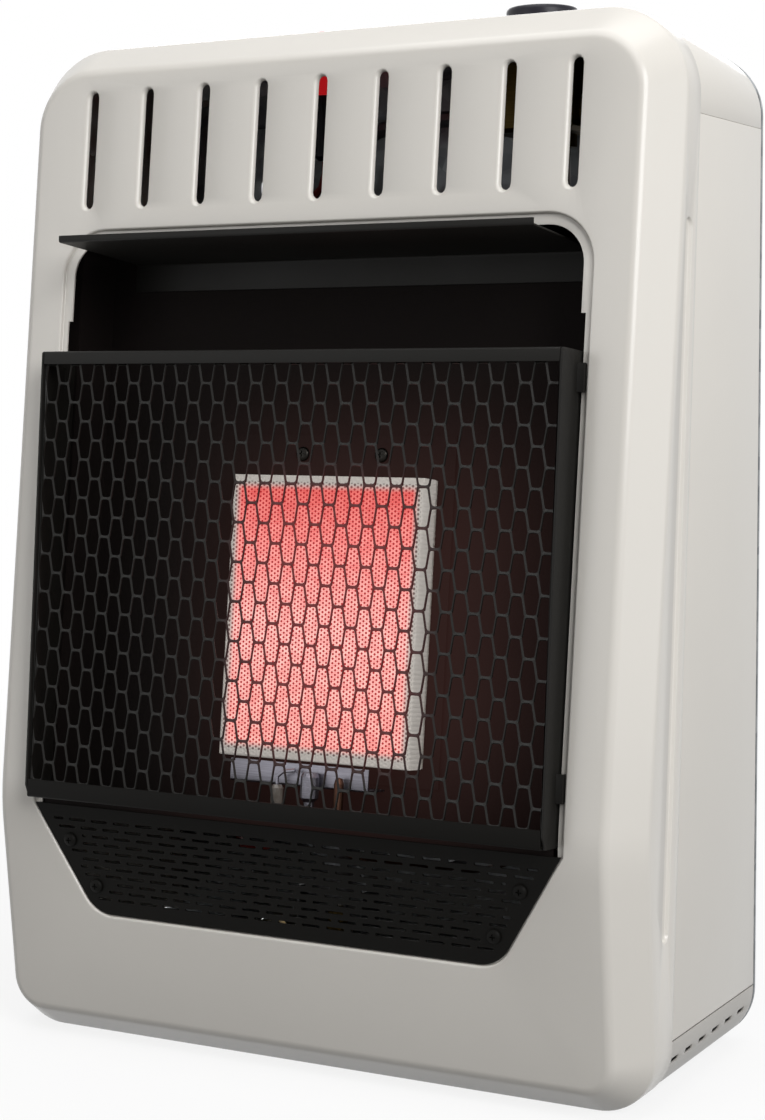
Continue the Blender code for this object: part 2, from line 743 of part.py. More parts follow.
def dropped(z, share):
    """Lowers a point of the top panel, which falls a little towards the rear."""
    crown = HEIGHT - SHEET - GAP
    return z - TOP_DROP * share * max(0.0, z - SHOULDER_Z) / (crown - SHOULDER_Z)


def top_outline(inset=0.0):
    """The top panel's section from the right seam over to the left."""
    half = half_width() - inset
    radius = TOP_R - SHEET - GAP - inset
    head = arc(WIDTH / 2 - TOP_R, HEIGHT - TOP_R, radius, 0, 90)
    foot = SHOULDER_Z + GAP
    return [(half, foot), *head, *mirrored(head), (-half, foot)]


def base_outline(drop, inset=0.0):
    """The base pan's section from the left seam under to the right, at the floor or just above it."""
    half = half_width() - inset
    centre_x = WIDTH / 2 - BOTTOM_R
    radius = half - centre_x
    foot = arc(centre_x, BOTTOM_R, radius, -90, 0)
    stretch = (BOTTOM_R - inset) / radius if drop else 1.0
    foot = [(x, BOTTOM_R + (z - BOTTOM_R) * stretch) for x, z in foot]
    rim = BASE_Z - GAP
    return [(-half, rim), *mirrored(foot), *foot, (half, rim)]


def rear_screw_places():
    """Where the rear panel's screws pass through, as (x, z)."""
    side = half_width() - REAR_FLANGE / 2 - SHEET / 2
    high = dropped(HEIGHT - SHEET - GAP, 1) - REAR_FLANGE * 0.7
    low = BASE_Z + REAR_SCREW_LOW
    upper = SHOULDER_Z - REAR_SCREW_HIGH
    return [(side, low), (side, upper), (-side, low), (-side, upper),
            (HANGER_X, high), (-HANGER_X, high), (0, REAR_FLANGE / 2 + SHEET / 2)]


def rear_screw_holes(shop):
    reach = 4 * REAR_SCREW_LENGTH
    places = [(x, REAR_Y, z) for x, z in rear_screw_places()]
    mesh = rods_mesh("rear_screw_holes", SCREW_R + SCREW_HOLE_CLEAR, reach, places, (0, 1, 0))
    return shop.cutter("rear_screw_holes", mesh, shop.cabinet)


def top_panel(shop, screw_holes):
    bm = bmesh.new()
    section = top_outline()
    flange = top_outline(REAR_FLANGE)
    rear = rear_inner_y()
    front_ring = ring(bm, [(x, seam_y(z) - LAP, z) for x, z in section])
    rear_ring = ring(bm, [(x, rear, dropped(z, 1)) for x, z in section])
    flange_ring = ring(bm, [(x, rear, dropped(z, 1)) for x, z in flange])
    loft(bm, front_ring, rear_ring, closed=False)
    loft(bm, rear_ring, flange_ring, closed=False)
    panel = give_wall(shop.piece("top_panel", mesh_from(bm, "top_panel", True), "cream_enamel",
                                 shop.cabinet))
    reach = 40 * MM
    for name, radius, x, y in (("stem_hole", STEM_R + 1.5 * MM, KNOB_X, KNOB_Y),
                               ("igniter_hole", IGNITER_R + 2 * GAP, IGNITER_X, IGNITER_Y)):
        mesh = rods_mesh(name, radius, reach, [(x, y, HEIGHT)], (0, 0, 1), ROUND_STEPS)
        cut(panel, shop.cutter(name, mesh, shop.cabinet))
    cut(panel, screw_holes)


def side_panel(shop, screw_holes, side, name):
    bm = bmesh.new()
    half = half_width()
    rear = rear_inner_y()
    rings = []
    for z in (BASE_Z + GAP, SHOULDER_Z - GAP):
        rings.append(ring(bm, [(side * half, seam_y(z) - LAP, z), (side * half, rear, z),
                               (side * (half - REAR_FLANGE), rear, z)]))
    if side > 0:
        rings.reverse()
    loft(bm, rings[0], rings[1], closed=False)
    panel = give_wall(shop.piece(name, mesh_from(bm, name), "cream_enamel", shop.cabinet))
    cut(panel, screw_holes)


def base_pan(shop, screw_holes):
    """The rounded base pan. Its front steps up to lap inside the cover."""
    bm = bmesh.new()
    lap = base_outline(drop=False)
    floor = base_outline(drop=True)
    flange = base_outline(drop=True, inset=REAR_FLANGE)
    rear = rear_inner_y()
    rings = [ring(bm, [(x, seam_y(z) - LAP, z) for x, z in lap]),
             ring(bm, [(x, seam_y(z) + GAP, z) for x, z in lap]),
             ring(bm, [(x, seam_y(z) + GAP + SHEET, z) for x, z in floor]),
             ring(bm, [(x, rear, z) for x, z in floor]),
             ring(bm, [(x, rear, z) for x, z in flange])]
    for first, second in zip(rings, rings[1:]):
        loft(bm, first, second, closed=False)
    pan = give_wall(shop.piece("base_pan", mesh_from(bm, "base_pan", True), "cream_enamel",
                               shop.cabinet))
    slits = []
    for i in range(BASE_SLIT_COUNT):
        y = BASE_SLIT_FIRST_Y + i * BASE_SLIT_PITCH
        for x in (-half_width(), half_width()):
            slits.append(((x - 3 * SHEET, y, BASE_SLIT_Z - BASE_SLIT_HEIGHT / 2),
                          (x + 3 * SHEET, y + BASE_SLIT_LENGTH, BASE_SLIT_Z + BASE_SLIT_HEIGHT / 2)))
    mesh = boxes_mesh("base_slits", slits)
    cut(pan, shop.cutter("base_slits", mesh, shop.cabinet))
    cut(pan, screw_holes)


def rear_panel(shop):
    top = [(x, dropped(z, 1)) for x, z in top_outline()]
    outline = top + base_outline(drop=True)
    holes = []
    for x in (-HANGER_X, HANGER_X):
        holes.append([(x + dx, z) for dx, z in rectangle(HANGER_WIDTH / 2, HANGER_Z,
                                                         HANGER_Z + HANGER_HEIGHT)])
    middle = (REAR_VENT_COUNT - 1) / 2
    for i in range(REAR_VENT_COUNT):
        x = (i - middle) * REAR_VENT_PITCH
        holes.append(capsule(x, REAR_VENT_LOW_Z, REAR_VENT_LOW_Z + REAR_VENT_LENGTH,
                             REAR_VENT_WIDTH, 3))
    inlet_z = REGULATOR_FOOT_Z + REGULATOR_HEIGHT / 2
    holes.append(circle(REGULATOR_X, inlet_z, INLET_R + INLET_HOLE_CLEAR))
    holes += [circle(x, z, SCREW_R + SCREW_HOLE_CLEAR) for x, z in rear_screw_places()]
    mesh = flat_mesh("rear_panel", [outline, *holes], SHEET)
    shop.piece("rear_panel", mesh, "galvanised_steel", shop.cabinet, (0, REAR_Y - SHEET, 0))


def screw_mesh(name, length):
    """A pan-head screw, its seat at z = 0 and its head above."""
    r = SCREW_HEAD_R
    profile = [(0, SCREW_HEAD), (r * 0.62, SCREW_HEAD), (r, SCREW_HEAD * 0.35), (r, 0), (SCREW_R, 0),
               (SCREW_R, -length), (0, -length)]
    return turned_mesh(name, profile)


def screw(shop, name, frame, place, direction, length):
    """A screw whose head stands out along a direction, a gap clear of what it holds."""
    seat = Vector(place) + Vector(direction).normalized() * GAP
    obj = shop.piece(name, screw_mesh(name, length), "zinc_screw", frame, seat, direction)
    return turn_up(obj, SCREW_STEPS)


def rear_screws(shop):
    for i, (x, z) in enumerate(rear_screw_places()):
        screw(shop, f"rear_screw_{i + 1}", shop.cabinet, (x, REAR_Y, z), (0, 1, 0), REAR_SCREW_LENGTH)


def net_holes(half, low, high):
    """The tall six-sided gaps of the guard's expanded metal, in staggered columns."""
    holes = []
    tall = NET_RISE / 2 - NET_STRAND / 2
    bond = NET_BOND / 2 - NET_STRAND / 4
    wide = (NET_PITCH - NET_BOND) / 2 - NET_STRAND / 2 * 1.1
    across = round(2 * half / NET_PITCH)
    pitch = 2 * half / across
    up = round((high - low) / NET_RISE)
    rise = (high - low) / up
    for column in range(2 * across + 1):
        x = -half + column * pitch / 2
        shift = 0.5 if column % 2 else 0.0
        for row in range(up + 1):
            z = low + (row + shift) * rise
            hexagon = [(x + wide, z), (x + bond, z + tall), (x - bond, z + tall), (x - wide, z),
                       (x - bond, z - tall), (x + bond, z - tall)]
            clipped = []
            for px, pz in hexagon:
                point = (min(max(px, -half), half), min(max(pz, low), high))
                if point not in clipped:
                    clipped.append(point)
            spread_x = max(p[0] for p in clipped) - min(p[0] for p in clipped)
            spread_z = max(p[1] for p in clipped) - min(p[1] for p in clipped)
            if len(clipped) > 2 and min(spread_x, spread_z) > NET_STRAND:
                holes.append(clipped)
    return holes


def guard(shop):
    """The lift-off guard: expanded metal between two folded rails and two side plates."""
    inner = GUARD_HALF - GUARD_SHEET - GAP
    behind = GUARD_SHEET + GAP
    low = GUARD_SHEET + GAP
    high = GUARD_HEIGHT - GUARD_SHEET - GAP
    holes = net_holes(inner - NET_BORDER, low + NET_BORDER, high - NET_BORDER)
    mesh = flat_mesh("guard_mesh", [rectangle(inner, low, high), *holes], GUARD_SHEET)
    shop.piece("guard_mesh", mesh, "black_enamel", shop.guard, (0, behind, 0))
    rails = (("guard_top_rail", [(RAIL_RETURN, GUARD_HEIGHT), (0, GUARD_HEIGHT),
                                 (0, GUARD_HEIGHT - TOP_RAIL)]),
             ("guard_bottom_rail", [(0, BOTTOM_RAIL), (0, 0), (RAIL_RETURN, 0)]))
    for name, section in rails:
        mesh = folded_strip(name, section, -inner, inner)
        give_wall(shop.piece(name, mesh, "black_enamel", shop.guard), GUARD_SHEET)
    outline = [(GUARD_CHAMFER / 2, 0), (GUARD_FOOT_DEPTH, 0), (GUARD_HEAD_DEPTH, GUARD_HEIGHT),
               (0, GUARD_HEIGHT), (0, GUARD_CHAMFER)]
    ear = OPENING_HALF - GAP - GUARD_HALF
    for side, name in ((1, "right"), (-1, "left")):
        mesh = side_mesh(f"guard_{name}_plate", outline, GUARD_SHEET)
        x = GUARD_HALF - GUARD_SHEET if side > 0 else -GUARD_HALF
        plate = shop.piece(f"guard_{name}_plate", mesh, "black_enamel", shop.guard, (x, 0, 0))
        reach = sorted((side * (GUARD_HALF - GUARD_SHEET / 2), side * (GUARD_HALF + ear)))
        tabs = [((reach[0], depth, z), (reach[1], depth + TAB_DEPTH, z + TAB_HEIGHT))
                for depth, z in ((LOW_TAB_DEPTH, LOW_TAB_Z), (HIGH_TAB_DEPTH, HIGH_TAB_Z))]
        mesh = boxes_mesh(f"hook_tabs_{name}", tabs)
        join(plate, shop.cutter(f"hook_tabs_{name}", mesh, shop.guard))


def lower_grille(shop):
    """The perforated sheet that fills the opening below the crease."""
    scale = 1 / math.cos(LEAN_DOWN)
    clear = GRILLE_CLEAR
    foot = [(x, (z - CREASE_Z) * scale) for x, z in opening_foot(clear)]
    half = OPENING_HALF - clear
    outline = [(half, 0), (-half, 0), *mirrored(foot), *foot]
    slope = (OPENING_HALF - OPENING_FOOT_HALF) / (CREASE_Z - OPENING_FOOT_Z)
    holes = []
    for row in range(GRILLE_ROWS):
        z = -GRILLE_MARGIN - GRILLE_SLOT_HEIGHT / 2 - row * GRILLE_ROW_PITCH
        room = OPENING_HALF + (z - GRILLE_SLOT_HEIGHT) * slope - GRILLE_MARGIN - GRILLE_SLOT / 2
        shift = GRILLE_SLOT_PITCH / 2 if row % 2 else 0.0
        for i in range(-8, 9):
            x = i * GRILLE_SLOT_PITCH + shift
            near_screw = any(abs(abs(x) - sx) < GRILLE_SLOT / 2 + SCREW_HEAD_R
                             and abs(z - sz) < GRILLE_SLOT_HEIGHT / 2 + SCREW_HEAD_R
                             for sx, sz in GRILLE_SCREWS)
            if abs(x) <= room and not near_screw:
                holes.append([(x + dx, z + dz) for dx, dz in rectangle(
                    GRILLE_SLOT / 2, -GRILLE_SLOT_HEIGHT / 2, GRILLE_SLOT_HEIGHT / 2)])
    screws = [(side * x, z) for x, z in GRILLE_SCREWS for side in (1, -1)]
    holes += [circle(x, z, SCREW_R + SCREW_HOLE_CLEAR) for x, z in screws]
    mesh = flat_mesh("lower_grille", [outline, *holes], SHEET)
    shop.piece("lower_grille", mesh, "black_enamel", shop.lower, (0, GRILLE_DEPTH, 0))
    for i, (x, z) in enumerate(screws):
        screw(shop, f"grille_screw_{i + 1}", shop.lower, (x, GRILLE_DEPTH, z), (0, -1, 0),
              SHORT_SCREW_LENGTH)


def frame_screws():
    """Where the two screws of the plaque frame pass through, as (x, z) of the upper frame."""
    return [(side * FRAME_SCREW_X, PLAQUE_HIGH + FRAME_SCREW_RISE) for side in (-1, 1)]


def tray_rings(bm, outlines):
    """Rings of a tray from its flange's edge to its back, facing into the tray."""
    rings = [ring(bm, [(x, depth, z) for x, z in outline]) for outline, depth in outlines]
    for outer, inner in zip(rings, rings[1:]):
        loft(bm, inner, outer)
    bm.faces.new(rings[-1])


def firebox(shop):
    """The dark tray round the plaque, with its sill and the two brackets that carry it."""
    bm = bmesh.new()
    mouth = rectangle(FIREBOX_HALF, FIREBOX_FLOOR, FIREBOX_TOP)
    flange = rectangle(FIREBOX_HALF + FIREBOX_FLANGE, FIREBOX_FLOOR - FIREBOX_FLANGE,
                       FIREBOX_TOP + FIREBOX_FLANGE)
    tray_rings(bm, [(flange, FIREBOX_MOUTH), (mouth, FIREBOX_MOUTH), (mouth, FIREBOX_BACK)])
    tray = give_wall(shop.piece("firebox_tray", mesh_from(bm, "firebox_tray"), "firebox_black",
                                shop.upper))
    port = gasket_hole()
    mesh = box_mesh("firebox_port", (-port[0], FIREBOX_BACK - 3 * SHEET, port[1]),
                    (port[0], FIREBOX_BACK + 3 * SHEET, port[2]))
    cut(tray, shop.cutter("firebox_port", mesh, shop.upper))
    places = [(x, FIREBOX_BACK, z) for x, z in frame_screws()]
    mesh = rods_mesh("frame_screw_holes", SCREW_R + SCREW_HOLE_CLEAR, 8 * SHEET, places, (0, 1, 0))
    holes = shop.cutter("frame_screw_holes", mesh, shop.upper)
    cut(tray, holes)
    floor = FIREBOX_FLOOR
    for name, x, radius in (("pilot_hole", PILOT_X, PILOT_STEM_R),
                            ("electrode_hole", ELECTRODE_X, INSULATOR_R),
                            ("thermocouple_hole", THERMOCOUPLE_X, THERMOCOUPLE_R)):
        mesh = rods_mesh(name, radius + FLOOR_HOLE_CLEAR, 8 * SHEET, [(x, PILOT_V, floor)], (0, 0, 1))
        cut(tray, shop.cutter(name, mesh, shop.upper))
    firebox_sill(shop)
    firebox_brackets(shop)
    return holes


def firebox_sill(shop):
    """A folded strip that closes the gap between the grille and the firebox floor."""
    top = FIREBOX_FLOOR + GAP + SHEET
    section = [(FIREBOX_MOUTH + SILL_LAP, top), (SILL_FRONT, top), (SILL_FRONT, top - SILL_LIP)]
    mesh = folded_strip("firebox_sill", section, -SILL_HALF, SILL_HALF)
    give_wall(shop.piece("firebox_sill", mesh, "firebox_black", shop.upper))


def firebox_brackets(shop):
    """Two folded strips that tie the firebox tray to the side panels."""
    tray_x = FIREBOX_HALF + SHEET + GAP
    panel_x = half_width() - SHEET - GAP
    section = [(tray_x + SHEET, BRACKET_DEPTH - BRACKET_FLANGE_IN), (tray_x + SHEET, BRACKET_DEPTH),
               (panel_x, BRACKET_DEPTH), (panel_x, BRACKET_DEPTH + BRACKET_FLANGE_OUT)]
    for side, name in ((1, "right"), (-1, "left")):
        bm = bmesh.new()
        ends = [ring(bm, [(side * x, y, z) for x, y in section]) for z in (BRACKET_LOW, BRACKET_HIGH)]
        if side > 0:
            ends.reverse()
        loft(bm, ends[0], ends[1], closed=False)
        give_wall(shop.piece(f"firebox_bracket_{name}", mesh_from(bm, name), "galvanised_steel",
                             shop.upper))


def hood(shop):
    """The heat deflector over the opening, with its folded lip and a rear flange."""
    rear = FIREBOX_BACK - GAP - SHEET
    section = [(-HOOD_REACH, HOOD_HEIGHT + HOOD_LIP), (-HOOD_REACH, HOOD_HEIGHT), (rear, HOOD_HEIGHT),
               (rear, HOOD_HEIGHT - HOOD_FLANGE)]
    mesh = folded_strip("hood", section, -HOOD_HALF, HOOD_HALF)
    give_wall(shop.piece("hood", mesh, "black_enamel", shop.upper))


def gasket_hole():
    """Half width, foot and head of the window that the plaque is fed through."""
    return (PLAQUE_HALF - GASKET_BAND, PLAQUE_LOW + GASKET_BAND, PLAQUE_HIGH - GASKET_BAND)


def plaque(shop, screw_holes):
    """The ceramic plaque, its gasket and the frame that locates it."""
    back = PLAQUE_FRONT + PLAQUE_THICK
    mesh = box_mesh("ceramic_plaque", (-PLAQUE_HALF, PLAQUE_FRONT, PLAQUE_LOW),
                    (PLAQUE_HALF, back, PLAQUE_HIGH))
    tile = shop.piece("ceramic_plaque", mesh, "glowing_ceramic", shop.upper)
    edge = tile.modifiers.new("edge", "BEVEL")
    edge.width = 1 * MM
    edge.segments = 1
    half, low, high = gasket_hole()
    outer = rectangle(PLAQUE_HALF - GAP, PLAQUE_LOW + GAP, PLAQUE_HIGH - GAP)
    depth = FIREBOX_BACK - GAP - (back + GAP)
    mesh = flat_mesh("plaque_gasket", [outer, rectangle(half, low, high)], depth)
    shop.piece("plaque_gasket", mesh, "white_fibre", shop.upper, (0, back + GAP, 0))
    clear = FRAME_CLEAR
    window = rectangle(PLAQUE_HALF + clear, PLAQUE_LOW - clear, PLAQUE_HIGH + clear)
    edge = rectangle(PLAQUE_HALF + FRAME_BAND, PLAQUE_LOW - FRAME_BAND, PLAQUE_HIGH + FRAME_TOP_BAND)
    mesh = flat_mesh("plaque_frame", [edge, window], SHEET)
    front = FIREBOX_BACK - GAP - SHEET
    frame = shop.piece("plaque_frame", mesh, "firebox_black", shop.upper, (0, front, 0))
    cut(frame, screw_holes)
    for i, (x, z) in enumerate(frame_screws()):
        screw(shop, f"frame_screw_{i + 1}", shop.upper, (x, front, z), (0, -1, 0), SHORT_SCREW_LENGTH)


def burner(shop, screw_holes):
    """The gas and air side of the burner, behind the firebox."""
    half, low, high = gasket_hole()
    inset = BOX_INSET
    front = FIREBOX_BACK + SHEET + GAP
    mouth = rectangle(half + inset, low - inset, high + inset)
    flange = rectangle(half + inset + BOX_FLANGE, low - inset - BOX_FLANGE,
                       high + inset + BOX_TOP_FLANGE)
    bm = bmesh.new()
    tray_rings(bm, [(flange, front), (mouth, front), (mouth, front + BOX_DEPTH)])
    box = give_wall(shop.piece("burner_box", mesh_from(bm, "burner_box"), "galvanised_steel",
                               shop.upper))
    cut(box, screw_holes)
    mesh = rods_mesh("venturi_hole", VENTURI_R + GAP, 12 * SHEET, [(0, VENTURI_V, low - inset)],
                     (0, 0, 1), ROUND_STEPS)
    cut(box, shop.cutter("venturi_hole", mesh, shop.upper))
    wall = low - inset - SHEET - GAP
    bore = VENTURI_WALL
    profile = [(VENTURI_R, wall + 12 * MM), (VENTURI_R, wall), (VENTURI_COLLAR_R, wall),
               (VENTURI_COLLAR_R, wall - 2 * MM), (VENTURI_R, wall - 2 * MM),
               (VENTURI_THROAT, VENTURI_BELL_W + 26 * MM), (VENTURI_THROAT, VENTURI_BELL_W + 14 * MM),
               (VENTURI_BELL_R, VENTURI_BELL_W), (VENTURI_BELL_R - bore, VENTURI_BELL_W),
               (VENTURI_THROAT - bore, VENTURI_BELL_W + 15 * MM),
               (VENTURI_THROAT - bore, VENTURI_BELL_W + 25 * MM), (VENTURI_R - bore, wall - 2 * MM),
               (VENTURI_R - bore, wall + 12 * MM)]
    tube = shop.piece("venturi_tube", turned_mesh("venturi_tube", profile, True), "aluminium",
                      shop.upper, (0, VENTURI_V, 0))
    turn_up(tube)
    injector(shop)


def injector(shop):
    """The brass injector under the venturi's bell and the strip that holds it there."""
    top = INJECTOR_TIP_W
    seat = INJECTOR_SEAT_W + GAP
    foot = INJECTOR_FOOT_W
    profile = [(0, top), (INJECTOR_R * 0.5, top), (INJECTOR_R, top - 3 * MM),
               (INJECTOR_R, seat + 6 * MM), (INJECTOR_HEX_R, seat + 6 * MM), (INJECTOR_HEX_R, seat),
               (INJECTOR_R, seat), (INJECTOR_R, foot + 6 * MM), (INJECTOR_HEX_R * 0.9, foot + 6 * MM),
               (INJECTOR_HEX_R * 0.9, foot), (0, foot)]
    part = shop.piece("injector", turned_mesh("injector", profile), "brass", shop.upper,
                      (0, VENTURI_V, 0))
    turn_up(part, 12)
    bm = bmesh.new()
    leg = VENTURI_BELL_R + GAP + HOLDER_SHEET
    floor = INJECTOR_SEAT_W - HOLDER_SHEET
    section = [(-leg, VENTURI_BELL_W + 3 * MM), (-leg, floor), (leg, floor),
               (leg, VENTURI_BELL_W + 3 * MM)]
    ends = [ring(bm, [(x, y, z) for x, z in section])
            for y in (VENTURI_V - HOLDER_HALF_DEPTH, VENTURI_V + HOLDER_HALF_DEPTH)]
    loft(bm, ends[0], ends[1], closed=False)
    holder = give_wall(shop.piece("injector_bracket", mesh_from(bm, "injector_bracket"),
                                  "galvanised_steel", shop.upper), HOLDER_SHEET)
    mesh = rods_mesh("injector_hole", INJECTOR_R + GAP, 8 * SHEET, [(0, VENTURI_V, INJECTOR_SEAT_W)],
                     (0, 0, 1))
    cut(holder, shop.cutter("injector_hole", mesh, shop.upper))


def pilot(shop):
    """The pilot under the plaque: bracket, pilot burner, electrode and thermocouple."""
    section = [(PILOT_PLATE_V, PILOT_TOP), (PILOT_PLATE_V, PILOT_LOW), (FIREBOX_BACK - GAP, PILOT_LOW)]
    mesh = folded_strip("pilot_bracket", section, PILOT_LEFT, PILOT_RIGHT)
    give_wall(shop.piece("pilot_bracket", mesh, "stainless_steel", shop.upper))
    base = FIREBOX_FLOOR - SHEET - 3 * MM
    r = PILOT_HOOD_R
    profile = [(0, 26 * MM), (r * 0.8, 26 * MM), (r, 24 * MM), (r, 14 * MM), (PILOT_STEM_R, 12 * MM),
               (PILOT_STEM_R, base), (0, base)]
    part = shop.piece("pilot_burner", turned_mesh("pilot_burner", profile), "stainless_steel",
                      shop.upper, (PILOT_X, PILOT_V, 0))
    turn_up(part, 16)
    r = INSULATOR_R
    profile = [(0, 19 * MM), (r * 0.7, 19 * MM), (r, 17.5 * MM), (r, base), (0, base)]
    part = shop.piece("electrode_insulator", turned_mesh("electrode_insulator", profile),
                      "white_porcelain", shop.upper, (ELECTRODE_X, PILOT_V, 0))
    turn_up(part, 16)
    tip = [(ELECTRODE_X, PILOT_V, 19 * MM + GAP), (ELECTRODE_X, PILOT_V, 23 * MM),
           (ELECTRODE_X + 3 * MM, PILOT_V, 25.5 * MM),
           (PILOT_X - PILOT_HOOD_R - 4 * MM, PILOT_V, 26.5 * MM)]
    shop.piece("electrode_wire", tube_curve("electrode_wire", tip, 0.9 * MM, 1), "stainless_steel",
               shop.upper)
    r = THERMOCOUPLE_R
    profile = [(0, 25 * MM), (r * 0.7, 24.5 * MM), (r, 22 * MM), (r, base), (0, base)]
    part = shop.piece("thermocouple", turned_mesh("thermocouple", profile), "copper", shop.upper,
                      (THERMOCOUPLE_X, PILOT_V, 0))
    turn_up(part, 16)
    return base - GAP


def control_bracket(shop, screw_holes):
    """The galvanised shelf under the top panel that carries the gas valve."""
    rear = rear_inner_y() - SHEET - GAP
    section = [(rear, SHELF_Z - SHELF_REAR_FLANGE), (rear, SHELF_Z), (SHELF_FRONT_Y, SHELF_Z),
               (SHELF_FRONT_Y, SHELF_Z - SHELF_LIP)]
    mesh = folded_strip("control_bracket", section, -SHELF_HALF, SHELF_HALF)
    shelf = give_wall(shop.piece("control_bracket", mesh, "galvanised_steel", shop.cabinet))
    mesh = box_mesh("lip_relief", (SHELF_LIP_RIGHT, SHELF_FRONT_Y - SHEET, SHELF_Z - 2 * SHELF_LIP),
                    (SHELF_HALF + SHEET, SHELF_FRONT_Y + 2 * SHEET, SHELF_Z - SHEET))
    cut(shelf, shop.cutter("lip_relief", mesh, shop.cabinet))
    mesh = rods_mesh("plug_hole", PLUG_R + PLUG_CLEAR, 8 * SHEET, [(KNOB_X, KNOB_Y, SHELF_Z)],
                     (0, 0, 1), ROUND_STEPS)
    cut(shelf, shop.cutter("plug_hole", mesh, shop.cabinet))
    cut(shelf, screw_holes)


def gas_valve(shop):
    """The valve body, the plug that turns in it and the stem that slides in the plug."""
    top = VALVE_TOP_Z
    mesh = box_mesh("gas_valve_body", (-VALVE_HALF_X, -VALVE_HALF_Y, VALVE_FOOT_Z),
                    (VALVE_HALF_X, VALVE_HALF_Y, top))
    place = (KNOB_X, KNOB_Y, 0)
    body = shop.piece("gas_valve_body", mesh, "brass", shop.cabinet, place)
    edge = body.modifiers.new("edge", "BEVEL")
    edge.width = 2 * MM
    edge.segments = 1
    reach = 2 * (VALVE_HALF_X + VALVE_PORT_LENGTH)
    mesh = rods_mesh("valve_ports", VALVE_PORT_R, reach, [(0, 0, VALVE_PORT_Z)], (1, 0, 0), 16)
    join(body, shop.cutter("valve_ports", mesh, shop.cabinet, place))
    taps = [(side * VALVE_TAP_X, VALVE_TAP_Y, VALVE_FOOT_Z) for side in (-1, 1)]
    mesh = rods_mesh("valve_taps", VALVE_TAP_R, 2 * VALVE_TAP_LENGTH, taps, (0, 0, 1))
    join(body, shop.cutter("valve_taps", mesh, shop.cabinet, place))
    depth = top - VALVE_BORE_Z
    mesh = rods_mesh("plug_bore", PLUG_R + GAP, 2 * depth, [(0, 0, top)], (0, 0, 1), ROUND_STEPS)
    cut(body, shop.cutter("plug_bore", mesh, shop.cabinet, place))
    bore = STEM_R + GAP
    profile = [(PLUG_R, PLUG_TOP_Z), (PLUG_R, PLUG_FOOT_Z), (bore, PLUG_FOOT_Z), (bore, PLUG_TOP_Z)]
    turn_up(shop.piece("valve_plug", turned_mesh("valve_plug", profile, True), "brass", shop.cabinet,
                       place))
    profile = [(0, STEM_TOP_Z), (STEM_R, STEM_TOP_Z), (STEM_R, STEM_FOOT_Z), (0, STEM_FOOT_Z)]
    turn_up(shop.piece("valve_stem", turned_mesh("valve_stem", profile), "brass", shop.cabinet, place))


def control_knob(shop):
    """The low round knob, dished on both sides of a finger bar."""
    r = KNOB_R
    top = KNOB_TOP_Z
    foot = KNOB_FOOT_Z
    bore = STEM_R + GAP
    socket = STEM_TOP_Z + GAP
    profile = [(0, top), (r - 3 * MM, top), (r - 0.9 * MM, top - 0.9 * MM), (r, top - 3 * MM),
               (r, foot + 1 * MM), (r - 1 * MM, foot), (bore, foot), (bore, socket), (0, socket)]
    place = (KNOB_X, KNOB_Y, 0)
    knob = turn_up(shop.piece("control_knob", turned_mesh("control_knob", profile), "black_plastic",
                              shop.cabinet, place), 28)
    mesh = rods_mesh("knob_dish", r - KNOB_RIM, 2 * KNOB_DISH, [(0, 0, top)], (0, 0, 1), 24)
    dish = shop.cutter("knob_dish", mesh, shop.cabinet, place)
    mesh = box_mesh("knob_bar", (-KNOB_BAR / 2, -2 * r, top - 2 * KNOB_DISH),
                    (KNOB_BAR / 2, 2 * r, top + 2 * KNOB_DISH))
    cut(dish, shop.cutter("knob_bar", mesh, shop.cabinet, place))
    cut(knob, dish)


def igniter(shop):
    """The piezo igniter, hung in the top panel by its red sleeve nut, and its button."""
    place = (IGNITER_X, IGNITER_Y, 0)
    top = IGNITER_FLANGE_Z + IGNITER_FLANGE
    bore = BUTTON_R + GAP
    profile = [(0, IGNITER_BORE_Z), (bore, IGNITER_BORE_Z), (bore, top), (IGNITER_FLANGE_R, top),
               (IGNITER_FLANGE_R, IGNITER_FLANGE_Z), (IGNITER_R, IGNITER_FLANGE_Z),
               (IGNITER_R, IGNITER_FOOT_Z), (0, IGNITER_FOOT_Z)]
    turn_up(shop.piece("igniter_body", turned_mesh("igniter_body", profile), "black_plastic",
                       shop.cabinet, place))
    sleeve = IGNITER_R + GAP
    profile = [(NUT_R, NUT_TOP_Z), (NUT_R, NUT_FOOT_Z), (sleeve, NUT_FOOT_Z), (sleeve, NUT_TOP_Z)]
    turn_up(shop.piece("igniter_nut", turned_mesh("igniter_nut", profile, True), "red_plastic",
                       shop.cabinet, place), 12)
    crown = top + BUTTON_PROUD
    profile = [(0, crown), (BUTTON_R - 1 * MM, crown), (BUTTON_R, crown - 1 * MM),
               (BUTTON_R, crown - BUTTON_LENGTH), (0, crown - BUTTON_LENGTH)]
    turn_up(shop.piece("igniter_button", turned_mesh("igniter_button", profile), "red_plastic",
                       shop.cabinet, place))


